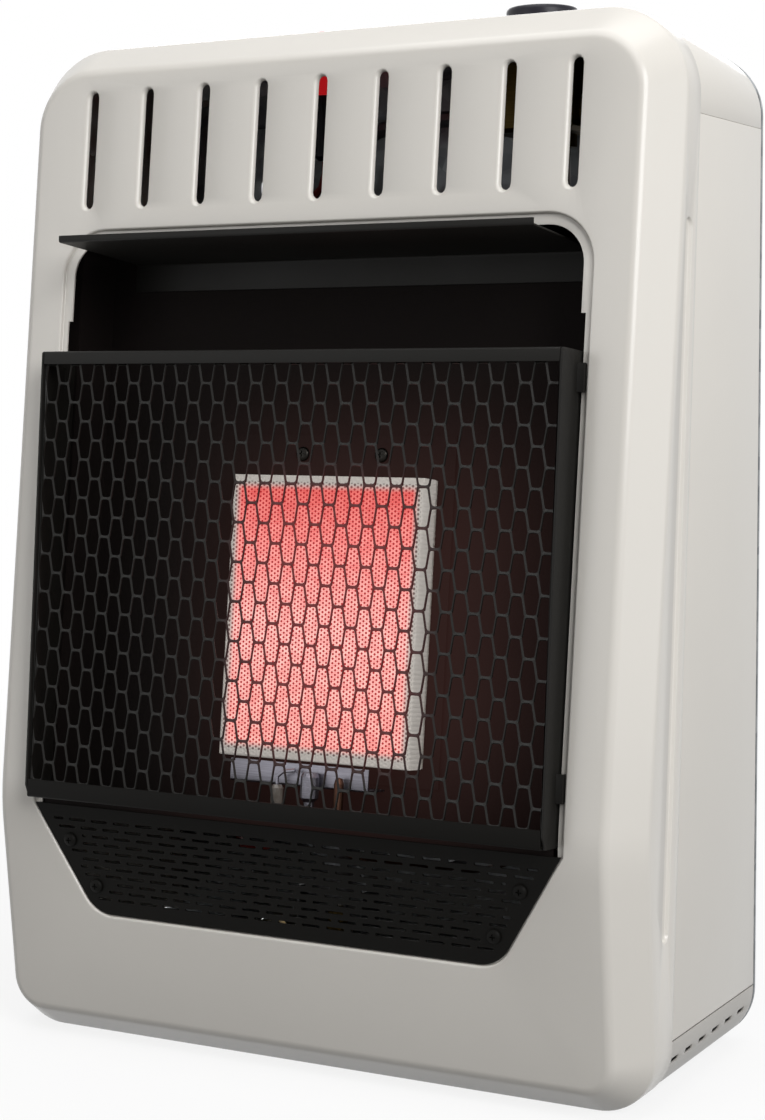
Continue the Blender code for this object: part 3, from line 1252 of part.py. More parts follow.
def regulator(shop):
    """The pressure regulator on its stand, with the inlet fitting behind it."""
    foot = REGULATOR_FOOT_Z
    top = foot + REGULATOR_HEIGHT
    middle = foot + REGULATOR_HEIGHT / 2
    place = (REGULATOR_X, REGULATOR_Y, 0)
    r = REGULATOR_R
    profile = [(0, top), (r, top), (r, foot + 2 * MM), (r - 3 * MM, foot), (0, foot)]
    body = shop.piece("regulator_body", turned_mesh("regulator_body", profile), "aluminium",
                      shop.cabinet, place)
    turn_up(body)
    port_r = min(REGULATOR_PORT_R, REGULATOR_HEIGHT / 2 - GAP)
    reach = r + REGULATOR_PORT
    mesh = rods_mesh("outlet_port", port_r, reach, [(reach / 2, 0, middle)], (1, 0, 0))
    join(body, shop.cutter("outlet_port", mesh, shop.cabinet, place))
    mesh = rods_mesh("inlet_port", port_r, reach, [(0, reach / 2, middle)], (0, 1, 0))
    join(body, shop.cutter("inlet_port", mesh, shop.cabinet, place))
    seat = top + GAP
    profile = [(0, seat + CAP_HEIGHT), (CAP_R * 0.5, seat + CAP_HEIGHT),
               (CAP_R, seat + CAP_HEIGHT * 0.55), (CAP_R, seat), (0, seat)]
    turn_up(shop.piece("regulator_cap", turned_mesh("regulator_cap", profile), "aluminium",
                       shop.cabinet, place))
    bm = bmesh.new()
    shelf = foot - GAP
    floor = SHEET + GAP
    section = [(-STAND_HALF, floor), (-STAND_HALF, shelf), (STAND_HALF, shelf), (STAND_HALF, floor)]
    ends = [ring(bm, [(x, y, z) for x, z in section]) for y in (-STAND_HALF_DEPTH, STAND_HALF_DEPTH)]
    loft(bm, ends[1], ends[0], closed=False)
    give_wall(shop.piece("regulator_stand", mesh_from(bm, "regulator_stand"), "galvanised_steel",
                         shop.cabinet, place), STAND_SHEET)
    start = REGULATOR_Y + reach + GAP
    end = REAR_Y + INLET_PROUD
    length = end - start
    r = INLET_R
    profile = [(0, length), (r, length), (r, length * 0.35), (r * 0.7, length * 0.35), (r * 0.7, 0),
               (0, 0)]
    fitting = shop.piece("inlet_fitting", turned_mesh("inlet_fitting", profile), "brass",
                         shop.cabinet, (REGULATOR_X, start, middle), (0, 1, 0))
    turn_up(fitting, 12)
    return Vector((REGULATOR_X + reach + GAP, REGULATOR_Y, middle))


def lay(shop, name, route, radius, finish, resolution=1):
    """A tube or lead along a smooth curve through its route's points."""
    curve = tube_curve(name, smooth_route(route, TUBE_STEPS), radius, resolution)
    shop.piece(name, curve, finish, shop.cabinet)


def tubes_and_leads(shop, outlet, pilot_foot):
    """The fixed gas tubes and leads, each along its real route, in steps of one tube bend."""
    bend = TUBE_BEND
    half_height = HEIGHT / 2
    supply_x = outlet.x + 2 * bend
    supply_y = REAR_Y - SUPPLY_BACK
    inlet = Vector((KNOB_X - VALVE_HALF_X - VALVE_PORT_LENGTH - GAP, KNOB_Y, VALVE_PORT_Z))
    route = [outlet, outlet + Vector((TUBE_END, 0, 0)), outlet + Vector((1.7, 1, 1)) * bend,
             (supply_x, supply_y, outlet.z + 4 * bend), (supply_x, supply_y, half_height),
             (supply_x, supply_y, inlet.z - 2.5 * bend),
             (supply_x + bend, supply_y - bend / 2, inlet.z - bend / 2),
             inlet - Vector((2.2 * bend, -bend / 3, 0)), inlet - Vector((TUBE_END, 0, 0)), inlet]
    lay(shop, "supply_tube", route, GAS_TUBE_R, "aluminium", 2)
    port = Vector((KNOB_X + VALVE_HALF_X + VALVE_PORT_LENGTH + GAP, KNOB_Y, VALVE_PORT_Z))
    foot = upper_point(0, VENTURI_V, INJECTOR_FOOT_W - GAP)
    down = (foot - upper_point(0, VENTURI_V, 0)).normalized()
    drop_x = port.x + 1.1 * bend
    route = [port, port + Vector((TUBE_END, 0, 0)), port + Vector((0.9, 0, -0.5)) * bend,
             (drop_x, KNOB_Y, port.z - 2 * bend), (drop_x, KNOB_Y, half_height),
             (drop_x, KNOB_Y, 5 * bend), (port.x, KNOB_Y - bend, 2.3 * bend),
             (port.x / 2, foot.y + 1.5 * bend, 1.3 * bend), (1.4 * bend, foot.y, 1.4 * bend),
             foot + down * 2 * TUBE_END + Vector((0.2 * bend, 0, 0)), foot + down * TUBE_END, foot]
    lay(shop, "manifold_tube", route, GAS_TUBE_R, "aluminium", 2)
    tap_y = KNOB_Y + VALVE_TAP_Y
    tap_z = VALVE_FOOT_Z - VALVE_TAP_LENGTH - GAP
    lines = (("pilot_tube", PILOT_X, KNOB_X - VALVE_TAP_X, PILOT_TUBE_R, "aluminium"),
             ("thermocouple_lead", THERMOCOUPLE_X, KNOB_X + VALVE_TAP_X, THERMOCOUPLE_LEAD_R,
              "copper"))
    for name, start_x, end_x, radius, finish in lines:
        start = upper_point(start_x, PILOT_V, pilot_foot)
        route = [start, start + down * TUBE_END,
                 (start_x + 1.6 * bend, 2.2 * bend, CREASE_Z - 1.3 * bend),
                 (end_x - bend / 2, 6 * bend, CREASE_Z - 1.7 * bend),
                 (end_x, tap_y - bend / 3, CREASE_Z + bend / 2), (end_x, tap_y, half_height),
                 (end_x, tap_y, tap_z - 1.5 * bend), (end_x, tap_y, tap_z - TUBE_END),
                 (end_x, tap_y, tap_z)]
        lay(shop, name, route, radius, finish)
    start = upper_point(ELECTRODE_X, PILOT_V, pilot_foot)
    end = Vector((IGNITER_X, IGNITER_Y, IGNITER_FOOT_Z - GAP))
    lead_x = IGNITER_X - 3.8 * bend
    route = [start, start + down * TUBE_END,
             (ELECTRODE_X - 1.6 * bend, 2.2 * bend, CREASE_Z - 1.3 * bend),
             (lead_x + bend / 3, 6 * bend, CREASE_Z - 1.7 * bend),
             (lead_x, KNOB_Y, CREASE_Z + 2 * bend), (lead_x, KNOB_Y, end.z - 4 * bend),
             end + Vector((-1.6, 1, -1.6)) * bend, end - Vector((0, 0, TUBE_END)), end]
    lay(shop, "igniter_lead", route, IGNITER_LEAD_R, "red_silicone")


def build():
    for obj in list(bpy.data.objects):
        bpy.data.objects.remove(obj, do_unlink=True)
    shop = Workshop()
    front_cover(shop)
    rear_holes = rear_screw_holes(shop)
    top_panel(shop, rear_holes)
    side_panel(shop, rear_holes, 1, "right_side_panel")
    side_panel(shop, rear_holes, -1, "left_side_panel")
    base_pan(shop, rear_holes)
    rear_panel(shop)
    rear_screws(shop)
    guard(shop)
    lower_grille(shop)
    frame_holes = firebox(shop)
    hood(shop)
    plaque(shop, frame_holes)
    burner(shop, frame_holes)
    pilot_foot = pilot(shop)
    control_bracket(shop, rear_holes)
    gas_valve(shop)
    control_knob(shop)
    igniter(shop)
    outlet = regulator(shop)
    tubes_and_leads(shop, outlet, pilot_foot)
    bpy.context.view_layer.update()


build()
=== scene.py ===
"""Ventless propane heater: its visible pieces, finishes and studio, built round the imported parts.

Metres, +Z up, the front faces -Y. Four frames carry the pieces, as on the real heater: CABINET
stands upright with y = 0 at the front cover's crease, UPPER and LOWER lie in the cover's two
leaning faces (x across, y depth behind the face, z up the face) and GUARD lies in the mesh guard.
"""

import json
import math
from functools import partial

import bmesh
import bpy
from bpy.props import FloatProperty, FloatVectorProperty, IntProperty, PointerProperty
from mathutils import Matrix, Vector


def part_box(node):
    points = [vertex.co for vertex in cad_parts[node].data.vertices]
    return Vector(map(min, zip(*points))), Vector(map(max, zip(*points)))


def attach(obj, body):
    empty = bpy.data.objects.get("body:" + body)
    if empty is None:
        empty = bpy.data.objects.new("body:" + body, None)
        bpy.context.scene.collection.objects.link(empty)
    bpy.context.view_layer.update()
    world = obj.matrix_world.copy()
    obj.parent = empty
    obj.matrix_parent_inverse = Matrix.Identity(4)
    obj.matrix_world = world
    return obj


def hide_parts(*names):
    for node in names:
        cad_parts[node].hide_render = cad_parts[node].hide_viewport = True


bl_info = {
    "name": "Ventless Propane Heater",
    "version": (1, 0, 0),
    "blender": (4, 5, 0),
    "location": "View3D > Sidebar > Heater",
    "description": "Builds the visible pieces, finishes and studio of a ventless propane heater",
    "category": "Object",
}

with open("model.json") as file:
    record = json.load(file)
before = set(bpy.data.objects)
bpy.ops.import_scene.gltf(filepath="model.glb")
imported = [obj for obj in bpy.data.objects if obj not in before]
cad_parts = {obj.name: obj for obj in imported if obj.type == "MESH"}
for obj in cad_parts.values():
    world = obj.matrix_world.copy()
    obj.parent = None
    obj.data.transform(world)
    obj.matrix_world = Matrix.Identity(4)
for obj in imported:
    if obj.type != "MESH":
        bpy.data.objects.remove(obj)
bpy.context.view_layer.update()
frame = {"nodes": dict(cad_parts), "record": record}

MM = 0.001
WIDTH = 356 * MM
HEIGHT = 499.2 * MM
REAR_Y = 165 * MM
SHEET = 1.0 * MM
GAP = 0.3 * MM
TOP_R = 41 * MM
BOTTOM_R = 28 * MM
CREASE_Z = 121.4 * MM
LEAN_UP = math.radians(7.16)
LEAN_DOWN = math.radians(5.2)
BEVEL_WIDTH = 13.4 * MM
BEVEL_DEPTH = 19.2 * MM
OPENING_HALF = 144.4 * MM
OPENING_TOP_Z = 406 * MM
OPENING_RISE = (OPENING_TOP_Z - CREASE_Z) / math.cos(LEAN_UP)
OPENING_FOOT_Z = 66.8 * MM
OPENING_FOOT_HALF = 111.4 * MM
OPENING_R = 23 * MM
OPENING_FOOT_R = 18 * MM
# the seam between cover and body panels: its depth at the floor, and its lean
SEAM_Y = 47.2 * MM
SEAM_LEAN = math.radians(3.75)
# vent slots: their places across, foot and head
SLOTS = [(i - 4) * 33 * MM for i in range(9)]
SLOT_LOW, SLOT_HIGH = 417.2 * MM, 475.2 * MM
GUARD_LEAN = math.radians(5.48)
GUARD_HALF = 140.8 * MM
GUARD_HEIGHT = OPENING_RISE - 66.3 * MM
GUARD_FOOT_Z = 126.6 * MM
# middle of the net's rightmost column of cells, and of its lowest cell
NET_X, NET_Z = 136.7 * MM, 17.9 * MM
# where the opening's ledge is cut back for the guard: half width, foot and head
SEAT = (GUARD_HALF + 0.7 * MM, 119.4 * MM, GUARD_FOOT_Z + GUARD_HEIGHT + 14 * MM)
# the body panels, inside the cover
HALF = WIDTH / 2 - SHEET - GAP
CROWN_Z = HEIGHT - SHEET - GAP
REAR_IN = REAR_Y - SHEET - GAP
SHOULDER_Z = 451 * MM
BASE_Z = 29.5 * MM
TOP_DROP = 7 * MM
FLANGE = 12 * MM
PANEL_BEND = 2.6 * MM
# how far they reach in under the cover's flange
LAP = 3 * MM
# finger grips in the cover's flanges, pressed in by steps of width and depth in millimetres
GRIP_LOW, GRIP_HIGH, GRIP_WIDTH = 78 * MM, 404 * MM, 8.4 * MM
GRIP_STEPS = ((8.0, 0.12), (7.4, 0.5), (6.8, 1.0), (6.2, 1.42), (5.4, 1.66), (4.4, 1.7))
# base pan's air slits: their lengthwise places, length, foot and head
SLITS = [(54 + 17.7 * i) * MM for i in range(6)]
SLIT_LENGTH, SLIT_LOW, SLIT_HIGH = 9 * MM, 18.4 * MM, 21 * MM
# the hanging slots and the two high rear screws
HANG_X = 95 * MM
SCREW_HOLE_R = 2.05 * MM
GRILLE_SCREWS = [(123.5 * MM, -17.5 * MM), (109.5 * MM, -40 * MM)]
GRILLE_Y = 0.9 * MM
# the firebox's back wall, and the sheets screwed on it: plaque frame and hood
FIREBOX_BACK = 40.7 * MM
FRAME_Y = FIREBOX_BACK - GAP - SHEET
PLAQUE_LOW, PLAQUE_HIGH = Vector((-53, 25.5, 30.6)) * MM, Vector((53, 38.5, 168.5)) * MM
KNOB = Vector((80 * MM, 120 * MM, 0))
IGNITER = Vector((-27 * MM, 94 * MM, 0))

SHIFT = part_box("rear_panel")[1].y - REAR_Y
CABINET = Matrix.Translation((0, SHIFT, 0))
UPPER = CABINET @ Matrix.Translation((0, 0, CREASE_Z)) @ Matrix.Rotation(-LEAN_UP, 4, "X")
LOWER = CABINET @ Matrix.Translation((0, 0, CREASE_Z)) @ Matrix.Rotation(LEAN_DOWN, 4, "X")
GUARD = (CABINET @ Matrix.Translation((0, -11.7 * MM, GUARD_FOOT_Z))
         @ Matrix.Rotation(-GUARD_LEAN, 4, "X"))


def linear(code):
    """A hex sRGB colour as the linear numbers that Blender works in."""
    values = [int(code[i:i + 2], 16) / 255 for i in (1, 3, 5)]
    return [v / 12.92 if v <= 0.04045 else ((v + 0.055) / 1.055) ** 2.4 for v in values]


def colour(name, code):
    return FloatVectorProperty(name=name, description=f"Colour of the {name.lower()}", size=3,
                               subtype="COLOR", min=0, max=1, default=linear(code))


def length(name, description, value):
    return FloatProperty(name=name, description=description, default=value * MM, min=0,
                         subtype="DISTANCE", unit="LENGTH", precision=5)


class HeaterSizes(bpy.types.PropertyGroup):
    """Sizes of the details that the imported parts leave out."""

    crease_reach: length("Crease reach", "How far above and below the crease the bend spreads", 13)
    bevel_radius: length("Bevel radius", "Radius between the cover's face and its bevel", 6)
    edge_radius: length("Edge radius", "Radius between the bevel and the side flange", 4.5)
    rim_radius: length("Rim radius", "Radius of the opening's front edge", 1.3)
    ledge_depth: length("Ledge depth", "How far the opening's ledge lies behind the face", 2.4)
    ledge_width: length("Ledge width", "Width of the ledge inside the opening", 5.1)
    slot_width: length("Slot width", "Clear width of each vent slot", 5.5)
    slot_lip: length("Slot lip", "Width of the drawn lip round each vent slot", 1.6)
    slot_depth: length("Slot depth", "How far each slot's lip is drawn in", 2.6)
    net_pitch: length("Net pitch", "Distance between the guard's cells across", 13.94)
    net_rise: length("Net rise", "Distance between the guard's cells up", 18.7)
    net_bond: length("Net bond", "Length of the short joints between the strands", 5.2)
    net_strand: length("Net strand", "Width of the guard's strands", 1.05)
    grille_rise: length("Grille rise", "Distance between the grille's rows of slots", 3.95)
    grille_pitch: length("Grille pitch", "Distance between slots in a row of the grille", 13.2)
    grille_slot: length("Grille slot", "Length of a slot in the grille", 9.8)
    grille_gap: length("Grille gap", "Height of a slot in the grille", 1.4)
    corner_steps: IntProperty(name="Corner steps", default=16, min=4, max=48,
                              description="Steps round each corner of the cabinet")


class HeaterColours(bpy.types.PropertyGroup):
    """Colours of the heater's finishes."""

    enamel: colour("Cream enamel", "#D7D3CC")
    black: colour("Black enamel", "#131210")
    firebox: colour("Firebox black", "#110D0C")
    knob: colour("Knob", "#14121B")
    button: colour("Igniter button", "#C81A20")
    ceramic: colour("Unlit ceramic", "#CBC5BE")
    glow: colour("Glowing ports", "#A8181E")
    floor: colour("Studio floor", "#F4F4F4")


# ---------------------------------------------------------------- finishes

def feed(tree, node, sockets):
    """Gives each socket its value, or links another node's output to it."""
    for name, value in sockets.items():
        if isinstance(value, bpy.types.NodeSocket):
            tree.links.new(value, node.inputs[name])
        else:
            node.inputs[name].default_value = value


def add(tree, kind, sockets=None, stops=(), **settings):
    """Adds a node with its settings, its sockets and a ramp's stops of place and colour."""
    node = tree.nodes.new(kind)
    for name, value in settings.items():
        setattr(node, name, value)
    feed(tree, node, sockets or {})
    if stops:
        ramp = node.color_ramp
        while len(ramp.elements) < len(stops):
            ramp.elements.new(0.5)
        for element, (place, code) in zip(ramp.elements, stops):
            element.position = place
            element.color = four(linear(code))
    return node


def four(rgb):
    return (*rgb, 1)


def tone(rgb, factor):
    return [min(1, c * factor) for c in rgb]


def plaque_plane(tree, place, aside=0.0):
    """Coordinates in the glowing plaque's own plane: x across, z up, both from its middle."""
    middle = UPPER @ Vector((aside, PLAQUE_LOW.y, (PLAQUE_LOW.z + PLAQUE_HIGH.z) / 2))
    back = add(tree, "ShaderNodeVectorMath", {0: place, 1: middle}, operation="SUBTRACT")
    upright = add(tree, "ShaderNodeMapping", {"Vector": back.outputs[0],
                                              "Rotation": (LEAN_UP, 0, 0)})
    return upright.outputs["Vector"]


def inside_field(tree, flat, half_x, half_z, soft, rise=0.0):
    """1 inside an upright rectangle of the plaque's plane, 0 outside it, with soft edges."""
    axes = add(tree, "ShaderNodeSeparateXYZ", {"Vector": flat})
    up = add(tree, "ShaderNodeMath", {0: axes.outputs["Z"], 1: rise}, operation="SUBTRACT")
    shares = []
    for value, half in ((axes.outputs["X"], half_x), (up.outputs[0], half_z)):
        away = add(tree, "ShaderNodeMath", {0: value}, operation="ABSOLUTE")
        shares.append(add(tree, "ShaderNodeMapRange", {
            "Value": away.outputs[0], "From Min": half - soft, "From Max": half + soft,
            "To Min": 1.0, "To Max": 0.0}, interpolation_type="SMOOTHSTEP").outputs[0])
    return add(tree, "ShaderNodeMath", dict(enumerate(shares)), operation="MULTIPLY").outputs[0]


def painted_plaque_glow(tree, shader, place, aside, field, strength, tint):
    """Painted light: the plaque's red glow painted as emission on the paint round it, over a
    field of half width, half height and softness."""
    near = inside_field(tree, plaque_plane(tree, place, aside), *field)
    power = add(tree, "ShaderNodeMath", {0: near, 1: strength}, operation="MULTIPLY")
    feed(tree, shader, {"Emission Color": four(tint), "Emission Strength": power.outputs[0]})


def porcelain_enamel(tree, shader, place, colours):
    """Stove enamel fused on steel: a glossy, slightly wavy skin in warm cream."""
    # firing leaves broad, faint clouds of tone, about 60 mm across
    cloud = add(tree, "ShaderNodeTexNoise", {"Vector": place, "Scale": 16.0, "Detail": 3.0})
    mix = add(tree, "ShaderNodeMix", {"Factor": cloud.outputs["Fac"],
                                      "A": four(tone(colours.enamel, 0.975)),
                                      "B": four(tone(colours.enamel, 1.02))}, data_type="RGBA")
    gloss = add(tree, "ShaderNodeMapRange", {"Value": cloud.outputs["Fac"], "To Min": 0.2,
                                             "To Max": 0.3})
    # orange peel of 1.5 to 2 mm, a few micrometres high
    peel = add(tree, "ShaderNodeTexNoise", {"Vector": place, "Scale": 420.0, "Detail": 1.0})
    bump = add(tree, "ShaderNodeBump", {"Height": peel.outputs["Fac"], "Strength": 0.05,
                                        "Distance": 0.4 * MM})
    feed(tree, shader, {"Base Color": mix.outputs["Result"], "IOR": 1.5,
                        "Roughness": gloss.outputs["Result"], "Normal": bump.outputs["Normal"]})


def pan_enamel(tree, shader, place, colours):
    """The base pan's enamel, darkened with painted shade: greyer than the cabinet's, and darker
    towards the bottom.
    """
    cloud = add(tree, "ShaderNodeTexNoise", {"Vector": place, "Scale": 24.0, "Detail": 3.0})
    axes = add(tree, "ShaderNodeSeparateXYZ", {"Vector": place})
    # painted shade: the enamel is mixed towards black, most at the pan's foot
    height = add(tree, "ShaderNodeMapRange", {"Value": axes.outputs["Z"], "From Max": 24 * MM,
                                              "To Min": 0.3, "To Max": 0.62})
    lit_share = add(tree, "ShaderNodeMath", {0: cloud.outputs["Fac"], 1: 0.1, 2: height.outputs[0]},
               operation="MULTIPLY_ADD")
    mix = add(tree, "ShaderNodeMix", {"Factor": lit_share.outputs[0], "A": (0.02, 0.02, 0.02, 1),
                                      "B": four(colours.enamel)}, data_type="RGBA")
    # orange peel of 1.5 to 2 mm
    peel = add(tree, "ShaderNodeTexNoise", {"Vector": place, "Scale": 420.0, "Detail": 1.0})
    bump = add(tree, "ShaderNodeBump", {"Height": peel.outputs["Fac"], "Strength": 0.08,
                                        "Distance": 0.4 * MM})
    feed(tree, shader, {"Base Color": mix.outputs["Result"], "Roughness": 0.35,
                        "Normal": bump.outputs["Normal"]})


def satin_black(tree, shader, place, colours, share=1.0, shine=0.16):
    """Black stove paint on folded and expanded sheet: satin, with a fine pebble."""
    rgb = tone(colours.black, share)
    smear = add(tree, "ShaderNodeTexNoise", {"Vector": place, "Scale": 22.0, "Detail": 3.0})
    mix = add(tree, "ShaderNodeMix", {"Factor": smear.outputs["Fac"], "A": four(tone(rgb, 0.85)),
                                      "B": four(tone(rgb, 1.15))}, data_type="RGBA")
    gloss = add(tree, "ShaderNodeMapRange", {"Value": smear.outputs["Fac"], "To Min": 0.42,
                                             "To Max": 0.58})
    # the paint's pebble is about 0.4 mm; drawn at 0.8 mm so that it shows
    grain = add(tree, "ShaderNodeTexNoise", {"Vector": place, "Scale": 900.0, "Detail": 2.0})
    bump = add(tree, "ShaderNodeBump", {"Height": grain.outputs["Fac"], "Strength": 0.12,
                                        "Distance": 0.3 * MM})
    feed(tree, shader, {"Base Color": mix.outputs["Result"], "Specular IOR Level": shine,
                        "Roughness": gloss.outputs["Result"], "Normal": bump.outputs["Normal"]})


def net_black(tree, shader, place, colours):
    """The guard's black enamel, with the plaque's red light painted on where its strands pass it.
    """
    smear = add(tree, "ShaderNodeTexNoise", {"Vector": place, "Scale": 40.0, "Detail": 3.0})
    mix = add(tree, "ShaderNodeMix", {"Factor": smear.outputs["Fac"],
                                      "A": four(tone(colours.black, 0.8)),
                                      "B": four(tone(colours.black, 1.3))}, data_type="RGBA")
    # enamel pebble of about 0.8 mm
    grain = add(tree, "ShaderNodeTexNoise", {"Vector": place, "Scale": 900.0, "Detail": 2.0})
    bump = add(tree, "ShaderNodeBump", {"Height": grain.outputs["Fac"], "Strength": 0.15,
                                        "Distance": 0.3 * MM})
    feed(tree, shader, {"Base Color": mix.outputs["Result"], "Specular IOR Level": 0.2,
                        "Roughness": 0.45, "Normal": bump.outputs["Normal"]})
    # painted glow: the plaque's red light on the strands in front of it
    painted_plaque_glow(tree, shader, place, 26 * MM, (42 * MM, 58 * MM, 20 * MM), 0.12, (1, 0.07, 0.08))


def firebox_paint(tree, shader, place, colours):
    """Heat-resistant matt paint, browned by the burner."""
    # scorched patches of 20 to 40 mm over a dry grain of about 1 mm
    scorch = add(tree, "ShaderNodeTexNoise", {"Vector": place, "Scale": 30.0, "Detail": 4.0})
    mix = add(tree, "ShaderNodeMix", {"Factor": scorch.outputs["Fac"],
                                      "A": four(tone(colours.firebox, 0.7)),
                                      "B": four(tone(colours.firebox, 1.4))}, data_type="RGBA")
    grain = add(tree, "ShaderNodeTexNoise", {"Vector": place, "Scale": 700.0, "Detail": 2.0})
    bump = add(tree, "ShaderNodeBump", {"Height": grain.outputs["Fac"], "Strength": 0.2,
                                        "Distance": 0.4 * MM})
    feed(tree, shader, {"Base Color": mix.outputs["Result"], "Specular IOR Level": 0.08,
                        "Roughness": 0.72, "Normal": bump.outputs["Normal"]})
    # painted glow: the plaque's red light on the firebox paint round it
    painted_plaque_glow(tree, shader, place, 20 * MM, (75 * MM, 84 * MM, 55 * MM), 0.026, (1, 0.4, 0.34))


def galvanised_sheet(tree, shader, place, colours):
    """Hot-dip galvanised steel: dull zinc in crystals 5 to 12 mm across."""
    crystal = add(tree, "ShaderNodeTexVoronoi", {"Vector": place, "Scale": 130.0})
    tint = add(tree, "ShaderNodeSeparateColor", {"Color": crystal.outputs["Color"]})
    zinc = add(tree, "ShaderNodeMix", {"Factor": tint.outputs[0], "A": four(linear("#85898C")),
                                       "B": four(linear("#A6A9AB"))}, data_type="RGBA")
    # inside the cabinet, below the top flange, the zinc is darkened nearly to black with painted
    # shade
    axes = add(tree, "ShaderNodeSeparateXYZ", {"Vector": place})
    upper = add(tree, "ShaderNodeMapRange", {"Value": axes.outputs["Z"], "From Min": 465 * MM,
                                             "From Max": 469 * MM, "To Min": 0.22})
    outside = add(tree, "ShaderNodeMapRange", {"Value": axes.outputs["Y"],
                                               "From Min": REAR_Y + SHIFT - 4 * MM,
                                               "From Max": REAR_Y + SHIFT - 2 * MM})
    unshaded = add(tree, "ShaderNodeMath", {0: upper.outputs[0], 1: outside.outputs[0]},
                operation="MAXIMUM")
    shaded_zinc = add(tree, "ShaderNodeMix", {"Factor": unshaded.outputs[0], "A": (0.01, 0.01, 0.01, 1),
                                         "B": zinc.outputs["Result"]}, data_type="RGBA")
    gloss = add(tree, "ShaderNodeMapRange", {"Value": tint.outputs[1], "To Min": 0.34,
                                             "To Max": 0.56})
    feed(tree, shader, {"Base Color": shaded_zinc.outputs["Result"], "Metallic": 0.85,
                        "Roughness": gloss.outputs["Result"]})


def drawn_metal(tree, shader, place, colours, low, high, roughness, scale):
    """Drawn or turned metal: fine lines along the piece, in two near tones."""
    along = add(tree, "ShaderNodeMapping", {"Vector": place, "Scale": scale})
    lines = add(tree, "ShaderNodeTexNoise", {"Vector": along.outputs["Vector"], "Scale": 1.0,
                                             "Detail": 3.0})
    mix = add(tree, "ShaderNodeMix", {"Factor": lines.outputs["Fac"], "A": four(linear(low)),
                                      "B": four(linear(high))}, data_type="RGBA")
    gloss = add(tree, "ShaderNodeMapRange", {"Value": lines.outputs["Fac"],
                                             "To Min": roughness - 0.08,
                                             "To Max": roughness + 0.12})
    bump = add(tree, "ShaderNodeBump", {"Height": lines.outputs["Fac"], "Strength": 0.06,
                                        "Distance": 0.2 * MM})
    feed(tree, shader, {"Base Color": mix.outputs["Result"], "Metallic": 1.0,
                        "Roughness": gloss.outputs["Result"], "Normal": bump.outputs["Normal"]})


def moulded_plastic(tree, shader, place, colours, tint, roughness, speck, glow=0.0, shine=0.5):
    """Injection-moulded plastic with a fine spark-eroded texture."""
    rgb = linear(tint) if tint.startswith("#") else getattr(colours, tint)
    # mould texture of about 0.5 mm
    grain = add(tree, "ShaderNodeTexNoise", {"Vector": place, "Scale": 1400.0, "Detail": 1.0})
    mix = add(tree, "ShaderNodeMix", {"Factor": grain.outputs["Fac"], "A": four(tone(rgb, 0.9)),
                                      "B": four(tone(rgb, 1.1))}, data_type="RGBA")
    bump = add(tree, "ShaderNodeBump", {"Height": grain.outputs["Fac"], "Strength": speck,
                                        "Distance": 0.2 * MM})
    # a glow above 0 paints light of the plastic's own colour into it
    feed(tree, shader, {"Base Color": mix.outputs["Result"], "Normal": bump.outputs["Normal"],
                        "Roughness": roughness, "IOR": 1.5, "Specular IOR Level": shine,
                        "Emission Color": four(rgb), "Emission Strength": glow})


def fibre_board(tree, shader, place, colours):
    """Pressed ceramic fibre: off-white, matt and fuzzy."""
    fibre = add(tree, "ShaderNodeTexNoise", {"Vector": place, "Scale": 600.0, "Detail": 5.0})
    mix = add(tree, "ShaderNodeMix", {"Factor": fibre.outputs["Fac"], "A": four(linear("#CFC9BE")),
                                      "B": four(linear("#EDE9E0"))}, data_type="RGBA")
    bump = add(tree, "ShaderNodeBump", {"Height": fibre.outputs["Fac"], "Strength": 0.5,
                                        "Distance": 0.6 * MM})
    feed(tree, shader, {"Base Color": mix.outputs["Result"], "Roughness": 0.95,
                        "Normal": bump.outputs["Normal"]})


def glazed_porcelain(tree, shader, place, colours):
    """Glazed porcelain insulator, glassy, darkened to grey with painted shade, with faint clouds of
    tone.
    """
    cloud = add(tree, "ShaderNodeTexNoise", {"Vector": place, "Scale": 500.0, "Detail": 2.0})
    mix = add(tree, "ShaderNodeMix", {"Factor": cloud.outputs["Fac"], "A": four(linear("#59534D")),
                                      "B": four(linear("#7C756D"))}, data_type="RGBA")
    feed(tree, shader, {"Base Color": mix.outputs["Result"], "Roughness": 0.14})


# the plaque's fire from its foot to its head, and the paler rings of flame over it
FIRE = ((0.0, "#F24A4F"), (0.4, "#FF686D"), (0.7, "#EE4048"), (1.0, "#C81E27"))
FLAME = ((0.0, "#FFCABF"), (0.45, "#FFD8CE"), (0.8, "#FBA8A0"), (1.0, "#E87870"))


